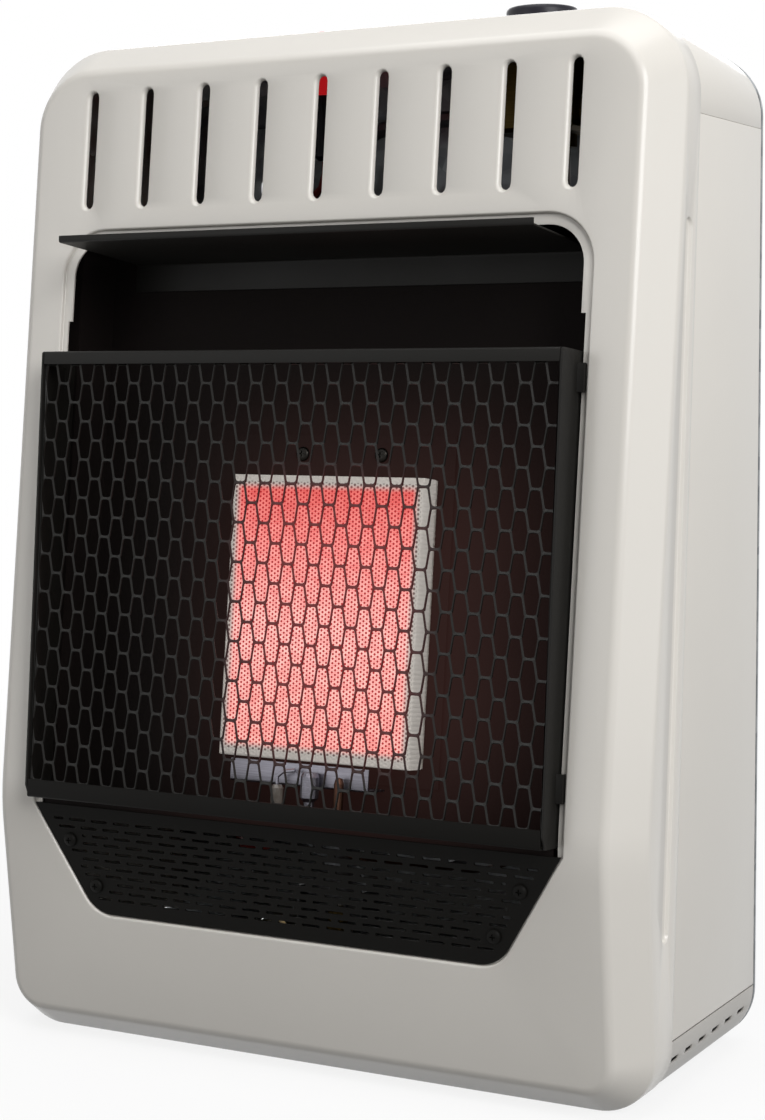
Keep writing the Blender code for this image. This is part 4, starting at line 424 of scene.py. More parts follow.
def burner_ceramic(tree, shader, place, colours):
    """Cordierite plaque, red-hot: ports in staggered columns, each in a pale ring of flame,
    bare and cooler at the plaque's edges."""
    flat = plaque_plane(tree, place)
    # columns 1.75 mm apart, ports 2.2 mm apart in a column; the two staggered sets of columns
    cell = Vector((3.5, 1, 2.2))
    spans = []
    for offset in ((0, 0, 0), (0.5, 0, 0.5)):
        grid = add(tree, "ShaderNodeVectorMath", {0: flat, 1: (1000 / cell.x, 0, 1000 / cell.z),
                                                  2: offset}, operation="MULTIPLY_ADD")
        part = add(tree, "ShaderNodeVectorMath", {0: grid.outputs[0]}, operation="FRACTION")
        mid = add(tree, "ShaderNodeVectorMath", {0: part.outputs[0], 1: (0.5, 0, 0.5)},
                  operation="SUBTRACT")
        size = add(tree, "ShaderNodeVectorMath", {0: mid.outputs[0], 1: (cell.x, 0, cell.z)},
                   operation="MULTIPLY")
        spans.append(add(tree, "ShaderNodeVectorMath", {0: size.outputs[0]}, operation="LENGTH")
                     .outputs["Value"])
    near = add(tree, "ShaderNodeMath", {0: spans[0], 1: spans[1]}, operation="MINIMUM").outputs[0]
    # the flames wander: patches of 3 to 5 mm are paler than the rest
    patch = add(tree, "ShaderNodeTexNoise", {"Vector": place, "Scale": 260.0, "Detail": 1.0})
    reach = add(tree, "ShaderNodeMapRange", {"Value": patch.outputs["Fac"], "From Min": 0.35,
                                             "From Max": 0.65, "To Min": 0.95, "To Max": 1.3})
    ring = add(tree, "ShaderNodeMapRange", {"Value": near, "From Min": 0.8,
                                            "From Max": reach.outputs[0], "To Min": 1.0,
                                            "To Max": 0.3}, interpolation_type="SMOOTHSTEP")
    solid = add(tree, "ShaderNodeMapRange", {"Value": near, "From Min": 0.46,
                                             "From Max": 0.82}).outputs[0]
    field = inside_field(tree, flat, 49.5 * MM, 63.6 * MM, 2.5 * MM, 0.2 * MM)
    drilled = inside_field(tree, flat, 52 * MM, 65.6 * MM, 0.3 * MM, 0.2 * MM)
    # the fire is a deep red at the top and palest in the middle
    axes = add(tree, "ShaderNodeSeparateXYZ", {"Vector": flat})
    height = add(tree, "ShaderNodeMapRange", {"Value": axes.outputs["Z"], "From Min": -64 * MM,
                                              "From Max": 64 * MM})
    fire = add(tree, "ShaderNodeValToRGB", {"Fac": height.outputs[0]}, FIRE)
    flame = add(tree, "ShaderNodeValToRGB", {"Fac": height.outputs[0]}, FLAME)
    rings = add(tree, "ShaderNodeMix", {"Factor": ring.outputs[0], "A": fire.outputs["Color"],
                                        "B": flame.outputs["Color"]}, data_type="RGBA")
    heat = add(tree, "ShaderNodeMix", {"Factor": solid, "A": four(colours.glow),
                                       "B": rings.outputs["Result"]}, data_type="RGBA")
    # painted shade: the ports' bores are dark where the plaque is bare
    bores = add(tree, "ShaderNodeMix", {"Factor": solid, "A": four(linear("#6C625E")),
                                        "B": four(colours.ceramic)}, data_type="RGBA")
    bare = add(tree, "ShaderNodeMix", {"Factor": drilled, "A": four(colours.ceramic),
                                       "B": bores.outputs["Result"]}, data_type="RGBA")
    grain = add(tree, "ShaderNodeTexNoise", {"Vector": place, "Scale": 60.0, "Detail": 3.0})
    worn = add(tree, "ShaderNodeMix", {"Factor": 0.12, "A": bare.outputs["Result"],
                                       "B": grain.outputs["Fac"]}, data_type="RGBA",
               blend_type="OVERLAY")
    dull = add(tree, "ShaderNodeMix", {"Factor": field, "A": worn.outputs["Result"],
                                       "B": four(linear("#5A1214"))}, data_type="RGBA")
    # the field is red-hot; the bare edges get painted light, a faint glow in their own colour
    shine = add(tree, "ShaderNodeMix", {"Factor": field, "A": bare.outputs["Result"],
                                        "B": heat.outputs["Result"]}, data_type="RGBA")
    glow = add(tree, "ShaderNodeMapRange", {"Value": field, "To Min": 0.3, "To Max": 1.05})
    bump = add(tree, "ShaderNodeBump", {"Height": solid, "Strength": 0.3, "Distance": 0.8 * MM})
    feed(tree, shader, {"Base Color": dull.outputs["Result"], "Roughness": 0.9,
                        "Emission Color": shine.outputs["Result"],
                        "Emission Strength": glow.outputs[0], "Normal": bump.outputs["Normal"]})


FINISHES = {
    "cream_stove_enamel": porcelain_enamel,
    "thin_grey_enamel": pan_enamel,
    "satin_black_enamel": satin_black,
    # the same paint on the parts below the plaque, darker with painted shade and with a duller
    # gloss
    "sooted_black_enamel": partial(satin_black, share=0.7, shine=0.07),
    "net_black_enamel": net_black,
    "firebox_heat_paint": firebox_paint,
    "galvanised_sheet": galvanised_sheet,
    # stainless strip brushed across: lines 0.15 mm apart, drawn at 0.5 mm so that they show
    "rolled_stainless": partial(drawn_metal, low="#5E5D64", high="#98969F", roughness=0.36,
                                scale=(60, 2000, 2000)),
    # aluminium tube, darkened to a soft grey with painted shade, with lines along its length
    "drawn_aluminium": partial(drawn_metal, low="#65676A", high="#8A8C8F", roughness=0.5,
                               scale=(1500, 1500, 60)),
    # brass darkened with painted shade, with the rings of the lathe, 0.3 mm apart
    "turned_brass": partial(drawn_metal, low="#4A3D22", high="#7A6538", roughness=0.45,
                            scale=(120, 120, 3000)),
    # copper lead and thermocouple, dulled by heat and darkened with painted shade
    "drawn_copper": partial(drawn_metal, low="#3E2A22", high="#63473A", roughness=0.45,
                            scale=(900, 900, 90)),
    # blackened zinc plate on steel screws
    "zinc_plated_screw": partial(drawn_metal, low="#1C1B1A", high="#33312E", roughness=0.36,
                                 scale=(700, 700, 700)),
    # phenolic knob resin: deep black with a violet cast, semi-gloss
    "phenolic_black": partial(moulded_plastic, tint="knob", roughness=0.38, speck=0.08, shine=0.25),
    # red nylon of the igniter's button and nut, with a painted glow so that it shows in the shade
    "nylon_red": partial(moulded_plastic, tint="button", roughness=0.36, speck=0.08, glow=0.55),
    # red silicone sleeve of the igniter's lead: soft and dull
    "silicone_red": partial(moulded_plastic, tint="#A3312B", roughness=0.58, speck=0.05),
    "ceramic_fibre_board": fibre_board,
    "glazed_porcelain": glazed_porcelain,
    "burner_ceramic": burner_ceramic,
}
FINISH_OF_SLOT = {
    "cream_enamel": "cream_stove_enamel", "black_enamel": "satin_black_enamel",
    "firebox_black": "firebox_heat_paint", "galvanised_steel": "galvanised_sheet",
    "stainless_steel": "rolled_stainless", "aluminium": "drawn_aluminium",
    "brass": "turned_brass", "glowing_ceramic": "burner_ceramic",
    "white_fibre": "ceramic_fibre_board", "white_porcelain": "glazed_porcelain",
    "black_plastic": "phenolic_black", "red_plastic": "nylon_red", "red_silicone": "silicone_red",
    "copper": "drawn_copper", "zinc_screw": "zinc_plated_screw",
}
SLOT_OF = {row["node"]: row["material_slot"] for row in frame["record"]["subparts"]}


def give_finish(obj, node, name=None):
    """Gives a piece the finish of this name, or of its node's slot, made when first used."""
    name = name or FINISH_OF_SLOT[SLOT_OF[node]]
    material = bpy.data.materials.get(name)
    if material is None:
        material = bpy.data.materials.new(name)
        material.use_nodes = True
        tree = material.node_tree
        place = add(tree, "ShaderNodeTexCoord").outputs["Object"]
        FINISHES[name](tree, tree.nodes["Principled BSDF"], place,
                       bpy.context.scene.heater_colours)
    obj.data.materials.clear()
    obj.data.materials.append(material)


def dress(*nodes):
    """Gives CAD nodes whose shape is right the finish of their slot."""
    for node in nodes:
        give_finish(frame["nodes"][node], node)


# ---------------------------------------------------------------- drawing helpers

def arc(x, z, radius, start, end, steps):
    """Points along an arc, with its angles in degrees."""
    angles = [math.radians(start + (end - start) * i / steps) for i in range(steps + 1)]
    return [(x + radius * math.cos(a), z + radius * math.sin(a)) for a in angles]


def quarter_turn(steps):
    """1 - cosine and sine at each step of a bend through a right angle."""
    angles = [math.radians(90 * i / steps) for i in range(1, steps + 1)]
    return [(1 - math.cos(a), math.sin(a)) for a in angles]


def mirrored(points):
    return [(-x, z) for x, z in reversed(points)]


def at_depth(outline, y):
    return [(x, y, z) for x, z in outline]


def rounded(points, radius, steps=4, closed=False):
    """A line through points with its corners rounded."""
    points = [Vector(p) for p in points]
    count = len(points)
    result = []
    for i, point in enumerate(points):
        if not closed and i in (0, count - 1):
            result.append(point)
            continue
        back = points[i - 1] - point
        on = points[(i + 1) % count] - point
        half = back.angle(on) / 2
        reach = min(radius / math.tan(half), back.length * 0.49, on.length * 0.49)
        bend = reach * math.tan(half)
        back, on = back.normalized(), on.normalized()
        middle = point + (back + on).normalized() * (bend / math.sin(half))
        first = (point + back * reach - middle).normalized()
        last = (point + on * reach - middle).normalized()
        result += [middle + first.slerp(last, j / steps) * bend for j in range(steps + 1)]
    return result


def capsule(x, low, high, width, steps=6):
    """An upright slot with round ends."""
    r = width / 2
    return arc(x, high - r, r, 0, 180, steps) + arc(x, low + r, r, 180, 360, steps)


def side_capsule(left, right, z, width):
    """A level slot with round ends."""
    r = width / 2
    return arc(right - r, z, r, -90, 90, 4) + arc(left + r, z, r, 90, 270, 4)


def chain(bm, points, closed=True):
    """A row of vertices joined by edges."""
    row = [bm.verts.new(p) for p in points]
    for a, b in zip(row, row[1:]):
        bm.edges.new((a, b))
    if closed:
        bm.edges.new((row[-1], row[0]))
    return row


def chain_edges(bm, row, closed=True):
    pairs = list(zip(row, row[1:])) + ([(row[-1], row[0])] if closed else [])
    return [bm.edges.get(pair) for pair in pairs]


def draw_out(bm, row, points, closed=True):
    """Extrudes a row of vertices to new places, one for each, and returns the new row."""
    made = bmesh.ops.extrude_edge_only(bm, edges=chain_edges(bm, row, closed))["geom"]
    fresh = {v for v in made if isinstance(v, bmesh.types.BMVert)}
    out = [next(e.other_vert(v) for e in v.link_edges if e.other_vert(v) in fresh) for v in row]
    for vert, point in zip(out, points):
        vert.co = point
    return out


def fill(bm, edges, normal=(0, -1, 0)):
    """Fills the flat area inside the outermost ring of edges and outside the others."""
    bmesh.ops.triangle_fill(bm, use_beauty=True, edges=edges, normal=normal)


def fill_rows(bm, rows, normal=(0, -1, 0)):
    fill(bm, [e for row in rows for e in chain_edges(bm, row)], normal)


def cut(bm, place, normal, geom=None):
    """Splits all faces, or the given ones, along a plane."""
    geom = geom or bm.verts[:] + bm.edges[:] + bm.faces[:]
    return bmesh.ops.bisect_plane(bm, geom=geom, dist=0.000001, plane_co=place,
                                  plane_no=normal)["geom"]


def face_out(bm, towards=(0, -1, 0)):
    """Turns a connected sheet's faces one way, the foremost one towards a direction."""
    bmesh.ops.recalc_face_normals(bm, faces=bm.faces)
    way = Vector(towards)
    first = max(bm.faces, key=lambda f: f.calc_center_median().dot(way) + abs(f.normal.dot(way)))
    if first.normal.dot(way) < 0:
        bmesh.ops.reverse_faces(bm, faces=bm.faces)


def block(low, high):
    """A bmesh box between two corners."""
    bm = bmesh.new()
    bmesh.ops.create_cube(bm, size=1)
    bmesh.ops.scale(bm, vec=high - low, verts=bm.verts)
    bmesh.ops.translate(bm, vec=(low + high) / 2, verts=bm.verts)
    return bm


def round_edges(bm, wanted, offset, segments):
    """Rounds the edges whose two ends are wanted."""
    edges = [e for e in bm.edges if all(wanted(v.co) for v in e.verts)]
    bmesh.ops.bevel(bm, geom=edges, offset=offset, offset_type="OFFSET", segments=segments,
                    profile=0.5, affect="EDGES", material=-1)


def mesh_from(bm, name):
    mesh = bpy.data.meshes.new(name)
    bm.to_mesh(mesh)
    bm.free()
    return mesh


def new_object(name, data):
    obj = bpy.data.objects.new(name, data)
    bpy.context.scene.collection.objects.link(obj)
    return obj


def finish_piece(bm, node, place=CABINET, body="cabinet", wall=0.0, soften=0.0, angle=35.0,
                 finish=None, flat=False, level=False):
    """Makes the piece that stands for a CAD node: its wall, edges, finish and body."""
    name = "seen_" + node
    bmesh.ops.transform(bm, matrix=place, verts=bm.verts)
    mesh = mesh_from(bm, name)
    obj = new_object(name, mesh)
    if wall:
        sheet = obj.modifiers.new("wall", "SOLIDIFY")
        sheet.thickness = wall
        sheet.offset = -1
        sheet.use_even_offset = not flat
        sheet.use_quality_normals = True
    if soften:
        edge = obj.modifiers.new("edge", "BEVEL")
        edge.width = soften
        edge.segments = 2
        edge.limit_method = "ANGLE"
        edge.angle_limit = math.radians(50)
        edge.use_clamp_overlap = True
    if wall or soften:
        bpy.context.view_layer.update()
        graph = bpy.context.evaluated_depsgraph_get()
        done = bpy.data.meshes.new_from_object(obj.evaluated_get(graph))
        obj.modifiers.clear()
        obj.data = done
        bpy.data.meshes.remove(mesh)
        done.name = name
    obj.data.shade_smooth()
    obj.data.set_sharp_from_angle(angle=math.radians(angle))
    if level:
        # the triangles of the piece's one large plane are shaded as a plane
        plane = max(obj.data.polygons, key=lambda face: face.area).normal
        for face in obj.data.polygons:
            face.use_smooth = abs(face.normal.dot(plane)) < 0.9999
    give_finish(obj, node, finish)
    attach(obj, body)
    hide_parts(node)


def folded(node, section, left, right, place, bend=1.2 * MM, **more):
    """A sheet strip folded to a section of (y, z), its wall left of the way along the section."""
    bm = bmesh.new()
    line = rounded(section, bend)
    row = chain(bm, [(right, y, z) for y, z in line], False)
    draw_out(bm, row, [(left, y, z) for y, z in line], False)
    bm.faces.ensure_lookup_table()
    (y0, z0), (y1, z1) = line[0], line[1]
    if bm.faces[0].normal.dot(Vector((0, z1 - z0, y0 - y1))) < 0:
        bmesh.ops.reverse_faces(bm, faces=bm.faces)
    finish_piece(bm, node, place, wall=SHEET, soften=0.3 * MM, **more)


def turned(profile, steps=48):
    """A bmesh spun about Z from a half section of (radius, height) in millimetres."""
    bm = bmesh.new()
    row = chain(bm, [(r * MM, 0, z * MM) for r, z in profile], False)
    bmesh.ops.spin(bm, geom=row + chain_edges(bm, row, False), cent=(0, 0, 0), axis=(0, 0, 1),
                   angle=math.tau, steps=steps, use_merge=True)
    bmesh.ops.remove_doubles(bm, verts=bm.verts, dist=0.000005)
    bmesh.ops.recalc_face_normals(bm, faces=bm.faces)
    return bm


def plate(bm, outlines, y=0.0):
    """A flat sheet in XZ: the first outline is its edge, the rest its holes."""
    rows = [chain(bm, at_depth(outline, y)) for outline in outlines]
    fill_rows(bm, rows)
    return rows


# ---------------------------------------------------------------- the cabinet's curves

def face_y(z):
    """The sharp front of the cover at a height."""
    if z >= CREASE_Z:
        return (z - CREASE_Z) * math.tan(LEAN_UP)
    return (CREASE_Z - z) * math.tan(LEAN_DOWN)


def soft_y(z, reach):
    """The same front with its crease bent round."""
    s = z - CREASE_Z
    if abs(s) >= reach:
        return face_y(z)
    low, high = math.tan(LEAN_DOWN), math.tan(LEAN_UP)
    return low * reach - low * (s + reach) + (low + high) * (s + reach) ** 2 / (4 * reach)


def seam_y(z):
    """Where the cover's flange ends over the body panels."""
    return SEAM_Y + z * math.tan(SEAM_LEAN)


def lapped(outline):
    """An outline of the body panels where they reach in under the cover's flange."""
    return [(x, seam_y(z) - LAP, z) for x, z in outline]


def ring_of(head, foot, half):
    """A closed outline of four corners, from its right side at the crease."""
    return [(half, CREASE_Z), *head, *mirrored(head), (-half, CREASE_Z), *mirrored(foot), *foot]


def cabinet_outline(inset, steps):
    head = arc(WIDTH / 2 - TOP_R, HEIGHT - TOP_R, TOP_R - inset, 0, 90, steps)
    foot = arc(WIDTH / 2 - BOTTOM_R, BOTTOM_R, BOTTOM_R - inset, -90, 0, steps)
    return ring_of(head, foot, WIDTH / 2 - inset)


def opening_foot(inset):
    slant = math.atan2(CREASE_Z - OPENING_FOOT_Z, OPENING_HALF - OPENING_FOOT_HALF)
    start = OPENING_FOOT_HALF - OPENING_FOOT_R * math.tan(slant / 2)
    return arc(start, OPENING_FOOT_Z + OPENING_FOOT_R, OPENING_FOOT_R - inset, -90,
               math.degrees(slant) - 90, 10)


def opening_outline(inset):
    head = arc(OPENING_HALF - OPENING_R, OPENING_TOP_Z - OPENING_R, OPENING_R - inset, 0, 90, 12)
    return ring_of(head, opening_foot(inset), OPENING_HALF - inset)


def dropped(z, share):
    """A height near the top, lowered by a share of the top panel's fall to the rear."""
    return z - TOP_DROP * share * max(0.0, z - SHOULDER_Z) / (CROWN_Z - SHOULDER_Z)


def top_outline(inset, steps):
    half = HALF - inset
    head = arc(WIDTH / 2 - TOP_R, HEIGHT - TOP_R, TOP_R - SHEET - GAP - inset, 0, 90, steps)
    foot = SHOULDER_Z + 0.02 * MM
    return [(half, foot), *head, *mirrored(head), (-half, foot)]


def base_outline(drop, inset, steps):
    """The base pan's outline: lapped by the cover's flange, or dropped to the cover's own foot."""
    half = HALF - inset
    centre_x = WIDTH / 2 - BOTTOM_R
    radius = half - centre_x
    stretch = (BOTTOM_R - inset) / radius if drop else 1.0
    foot = [(x, BOTTOM_R + (z - BOTTOM_R) * stretch)
            for x, z in arc(centre_x, BOTTOM_R, radius, -90, 0, steps)]
    rim = BASE_Z - GAP
    return [(-half, rim), *mirrored(foot), *foot, (half, rim)]


def grip_outline(width):
    """The finger grip in the cover's side flange, as (y, z)."""
    low = Vector((seam_y(GRIP_LOW) - 13.2 * MM, GRIP_LOW))
    high = Vector((seam_y(GRIP_HIGH) - 9.4 * MM, GRIP_HIGH))
    lean = math.atan2(high.x - low.x, high.y - low.y)
    spare = (GRIP_WIDTH - width) / 2
    points = capsule(0, spare, (high - low).length - spare, width, 8)
    return [(low.x + x * math.cos(lean) + z * math.sin(lean),
             low.y - x * math.sin(lean) + z * math.cos(lean)) for x, z in points]


# ---------------------------------------------------------------- operators

class HEATER_OT_front_cover(bpy.types.Operator):
    """Draws the bowed front cover with its soft bevels, drawn slots, rolled rim and grips"""

    bl_idname = "heater.front_cover"
    bl_label = "Front Cover"
    bl_options = {"REGISTER", "UNDO"}

    def execute(self, context):
        sizes = context.scene.heater_sizes
        steps = sizes.corner_steps
        bm = bmesh.new()
        # bevel section as (inset, depth), its two corners rounded
        line = [(BEVEL_WIDTH + 10 * MM, 0), (BEVEL_WIDTH, 0), (0, BEVEL_DEPTH), (0, 40 * MM)]
        section = rounded(line[:3], sizes.bevel_radius, 6)[1:-1]
        section += rounded(line[1:], sizes.edge_radius, 5)[1:-1]
        edge = chain(bm, at_depth(cabinet_outline(section[0][0], steps), 0))
        rim_r = sizes.rim_radius
        rim = chain(bm, at_depth(opening_outline(-rim_r), 0))
        slots = [chain(bm, at_depth(self.slot(sizes, x), 0)) for x in SLOTS]
        fill_rows(bm, [edge, rim, *slots])
        near = cabinet_outline(BEVEL_WIDTH, steps)
        for inset, depth in section[1:]:
            points = []
            for (x, z), (_, near_z) in zip(cabinet_outline(inset, steps), near):
                base = face_y(near_z if inset < BEVEL_WIDTH else z)
                points.append((x, base + depth - face_y(z), z))
            edge = draw_out(bm, edge, points)
        draw_out(bm, edge, [(x, seam_y(z) - face_y(z), z) for x, z in cabinet_outline(0, steps)])
        for back, out in quarter_turn(6):
            rim = draw_out(bm, rim, at_depth(opening_outline(-rim_r * (1 - out)), rim_r * back))
        deep = sizes.ledge_depth
        for inset in (0, 0.3 * MM):
            rim = draw_out(bm, rim, at_depth(opening_outline(inset), deep - 0.3 * MM + inset))
        before = set(bm.faces)
        draw_out(bm, rim, at_depth(opening_outline(sizes.ledge_width), deep))
        self.open_seat(bm, [f for f in bm.faces if f not in before])
        for x, row in zip(SLOTS, slots):
            for back, out in quarter_turn(5):
                row = draw_out(bm, row, at_depth(self.slot(sizes, x, 1 - out),
                                                 sizes.slot_depth * back))
        reach = sizes.crease_reach
        for i in range(-3, 4):
            cut(bm, (0, 0, CREASE_Z + i * reach / 3), (0, 0, 1))
        for vert in bm.verts:
            z, soft = vert.co.z, soft_y(vert.co.z, reach)
            room = (seam_y(z) - soft) / (seam_y(z) - face_y(z))
            vert.co.y = soft + vert.co.y * room
        for side in (1, -1):
            self.grip(bm, side)
        face_out(bm)
        finish_piece(bm, "front_cover", wall=SHEET, soften=0.3 * MM)
        return {"FINISHED"}

    @staticmethod
    def open_seat(bm, ledge):
        """Cuts the ledge back where the guard's side plates pass it."""
        half, low, high = SEAT
        geom = ledge + list({e for f in ledge for e in f.edges})
        geom += list({v for f in ledge for v in f.verts})
        for place, normal in (((0, 0, low), (0, 0, 1)), ((0, 0, high), (0, 0, 1)),
                              ((half, 0, 0), (1, 0, 0)), ((-half, 0, 0), (1, 0, 0))):
            geom = cut(bm, place, normal, geom)
        middles = [(f, f.calc_center_median()) for f in geom if isinstance(f, bmesh.types.BMFace)]
        gone = [f for f, middle in middles if abs(middle.x) < half and low < middle.z < high]
        bmesh.ops.delete(bm, geom=gone, context="FACES")

    @staticmethod
    def slot(sizes, x, share=1.0):
        """Outline of a slot grown by a share of its lip, which is broader on the left."""
        grow = sizes.slot_lip * share
        return capsule(x - grow / 2, SLOT_LOW - grow, SLOT_HIGH + grow, sizes.slot_width + 2 * grow)

    @staticmethod
    def grip(bm, side):
        """Opens the side flange round the finger grip and presses the grip in."""
        x = side * WIDTH / 2
        flat = [f for f in bm.faces if all(abs(v.co.x - x) < 0.000002 for v in f.verts)]
        rim = {e for f in flat for e in f.edges if sum(g in flat for g in e.link_faces) == 1}
        inner = {e for f in flat for e in f.edges} - rim
        bmesh.ops.delete(bm, geom=flat, context="FACES_ONLY")
        bmesh.ops.delete(bm, geom=[e for e in inner if e.is_valid], context="EDGES")
        row = chain(bm, [(x, y, z) for y, z in grip_outline(GRIP_WIDTH)])
        fill(bm, list(rim) + chain_edges(bm, row), (side, 0, 0))
        for width, depth in GRIP_STEPS:
            row = draw_out(bm, row, [(x - side * depth * MM, y, z)
                                     for y, z in grip_outline(width * MM)])
        fill_rows(bm, [row], (side, 0, 0))


class HEATER_OT_body_panels(bpy.types.Operator):
    """Folds the top panel, the two side panels and the base pan behind the cover"""

    bl_idname = "heater.body_panels"
    bl_label = "Body Panels"
    bl_options = {"REGISTER", "UNDO"}

    def execute(self, context):
        self.top(context.scene.heater_sizes.corner_steps)
        self.base(context.scene.heater_sizes.corner_steps)
        for side, name in ((1, "right"), (-1, "left")):
            bm = bmesh.new()
            line = rounded([(side * HALF, 0), (side * HALF, REAR_IN),
                            (side * (HALF - FLANGE), REAR_IN)], 2.2 * MM, 5)
            low, high = ([(x, max(y, seam_y(z) - LAP), z) for x, y in line]
                         for z in (BASE_Z + GAP, SHOULDER_Z - 0.02 * MM))
            draw_out(bm, chain(bm, low, False), high, False)
            face_out(bm, (side, 0, 0))
            finish_piece(bm, f"{name}_side_panel", wall=SHEET, soften=0.3 * MM)
        return {"FINISHED"}

    @staticmethod
    def top(steps):
        bm = bmesh.new()
        section = top_outline(0, steps)
        span = REAR_IN - PANEL_BEND
        row = chain(bm, lapped(section), False)
        row = draw_out(bm, row, [(x, span, dropped(z, span / REAR_IN)) for x, z in section], False)
        for back, out in quarter_turn(5):
            row = draw_out(bm, row, [(x, span + PANEL_BEND * out, dropped(z, 1))
                                     for x, z in top_outline(PANEL_BEND * back, steps)], False)
        draw_out(bm, row, [(x, REAR_IN, dropped(z, 1)) for x, z in top_outline(FLANGE, steps)],
                 False)
        # open the flat top round the knob's stem and the igniter
        flat = [f for f in bm.faces if f.normal.z ** 2 > 0.9 and f.calc_area() > 0.01]
        edges = list({e for f in flat for e in f.edges})
        bmesh.ops.delete(bm, geom=flat, context="FACES_ONLY")
        start = seam_y(CROWN_Z) - LAP
        for place, radius in ((KNOB, 4.5 * MM), (IGNITER, 6.3 * MM)):
            points = [(x, y, CROWN_Z - TOP_DROP * (y - start) / (REAR_IN - start))
                      for x, y in arc(place.x, place.y, radius, 0, 350, 35)]
            edges += chain_edges(bm, chain(bm, points))
        fill(bm, edges, (0, 0, 1))
        face_out(bm, (0, 0, 1))
        finish_piece(bm, "top_panel", wall=SHEET, soften=0.3 * MM, level=True)

    @staticmethod
    def base(steps):
        bm = bmesh.new()
        lap = base_outline(False, 0, steps)
        low = base_outline(True, 0, steps)
        span = REAR_IN - PANEL_BEND
        row = chain(bm, lapped(lap), False)
        row = draw_out(bm, row, [(x, seam_y(z) + GAP, z) for x, z in lap], False)
        row = draw_out(bm, row, [(x, seam_y(z) + GAP + SHEET, z) for x, z in low], False)
        row = draw_out(bm, row, at_depth(low, span), False)
        for back, out in quarter_turn(5):
            bent = base_outline(True, PANEL_BEND * back, steps)
            row = draw_out(bm, row, at_depth(bent, span + PANEL_BEND * out), False)
        draw_out(bm, row, at_depth(base_outline(True, FLANGE, steps), REAR_IN), False)
        # six air slits in each rounded lower corner
        for y in SLITS:
            cut(bm, (0, y, 0), (0, 1, 0))
            cut(bm, (0, y + SLIT_LENGTH, 0), (0, 1, 0))
        for z in (SLIT_LOW, SLIT_HIGH):
            cut(bm, (0, 0, z), (0, 0, 1))
        middles = [(f, f.calc_center_median()) for f in bm.faces]
        gone = [f for f, c in middles if SLIT_LOW < c.z < SLIT_HIGH
                and any(y < c.y < y + SLIT_LENGTH for y in SLITS)]
        bmesh.ops.delete(bm, geom=gone, context="FACES")
        face_out(bm, (0, 0, -1))
        finish_piece(bm, "base_pan", wall=SHEET, soften=0.25 * MM, finish="thin_grey_enamel")


class HEATER_OT_rear_panel(bpy.types.Operator):
    """Cuts the galvanised rear panel with its hanging slots, air slots and holes"""

    bl_idname = "heater.rear_panel"
    bl_label = "Rear Panel"
    bl_options = {"REGISTER", "UNDO"}

    def execute(self, context):
        steps = context.scene.heater_sizes.corner_steps
        bm = bmesh.new()
        edge = [(x, dropped(z, 1)) for x, z in top_outline(0, steps)] + base_outline(True, 0, steps)
        holes = []
        for x in (-HANG_X, HANG_X):
            left, right, low, high = x - 13 * MM, x + 13 * MM, 430 * MM, 439 * MM
            corners = [(right, low), (right, high), (left, high), (left, low)]
            holes.append([tuple(p) for p in rounded(corners, 3 * MM, 4, True)])
        holes += [capsule((i - 4) * 24 * MM, 88 * MM, 148 * MM, 5 * MM) for i in range(9)]
        # the gas inlet's hole
        holes.append(arc(-105 * MM, 23 * MM, 10.2 * MM, 0, 350, 35))
        holes += [arc(x, z, SCREW_HOLE_R, 0, 342, 19) for x, z in rear_screw_places()]
        plate(bm, [edge, *holes])
        face_out(bm, (0, 1, 0))
        finish_piece(bm, "rear_panel", CABINET @ Matrix.Translation((0, REAR_Y, 0)), wall=SHEET,
                     soften=0.25 * MM, flat=True)
        return {"FINISHED"}


def rear_screw_places():
    side = HALF - FLANGE / 2 - SHEET / 2
    high = dropped(CROWN_Z, 1) - FLANGE * 0.7
    return [(side, 100 * MM), (side, 380 * MM), (-side, 100 * MM), (-side, 380 * MM),
            (HANG_X, high), (-HANG_X, high), (0, FLANGE / 2 + SHEET / 2)]


class HEATER_OT_screws(bpy.types.Operator):
    """Turns the pan-head screws, each with its cross recess"""

    bl_idname = "heater.screws"
    bl_label = "Screws"
    bl_options = {"REGISTER", "UNDO"}

    def execute(self, context):
        rear = [(x, REAR_Y, z) for x, z in rear_screw_places()]
        grille = [(side * x, GRILLE_Y, z) for x, z in GRILLE_SCREWS for side in (1, -1)]
        plaque = [(side * 22 * MM, FRAME_Y, 180 * MM) for side in (-1, 1)]
        for kind, place, way, length_mm, seats, finish in (
                ("rear", CABINET, 1, 7, rear, None),
                ("grille", LOWER, -1, 5, grille, "sooted_black_enamel"),
                ("frame", UPPER, -1, 5, plaque, None)):
            for i, seat in enumerate(seats):
                self.screw(f"{kind}_screw_{i + 1}", place, seat, Vector((0, way, 0)), length_mm,
                           finish)
        return {"FINISHED"}

    @staticmethod
    def screw(name, place, seat, way, length_mm, finish):
        # the head's radius and height, in millimetres
        r, h = 3.6, 1.8
        bm = turned([(0, h - 0.9), (0.6, h - 0.9), (0.9, h - 0.35), (1.0, h), (1.8, h * 0.97),
                     (2.7, h * 0.8), (3.3, h * 0.5), (r, 0.25), (r, 0), (1.7, 0),
                     (1.7, -length_mm), (0, -length_mm)], 24)
        # spread the recess's rim to the four arms of the cross
        for vert in bm.verts:
            if 0.5 * MM < vert.co.xy.length < 1.05 * MM and vert.co.z > 0:
                arm = abs(math.cos(2 * math.atan2(vert.co.y, vert.co.x))) ** 3
                vert.co.xy *= 0.55 + 1.15 * arm
        turn = way.to_track_quat("Z", "Y").to_matrix().to_4x4()
        at = Matrix.Translation(Vector(seat) + way * GAP) @ turn
        finish_piece(bm, name, place @ at, angle=28, finish=finish)


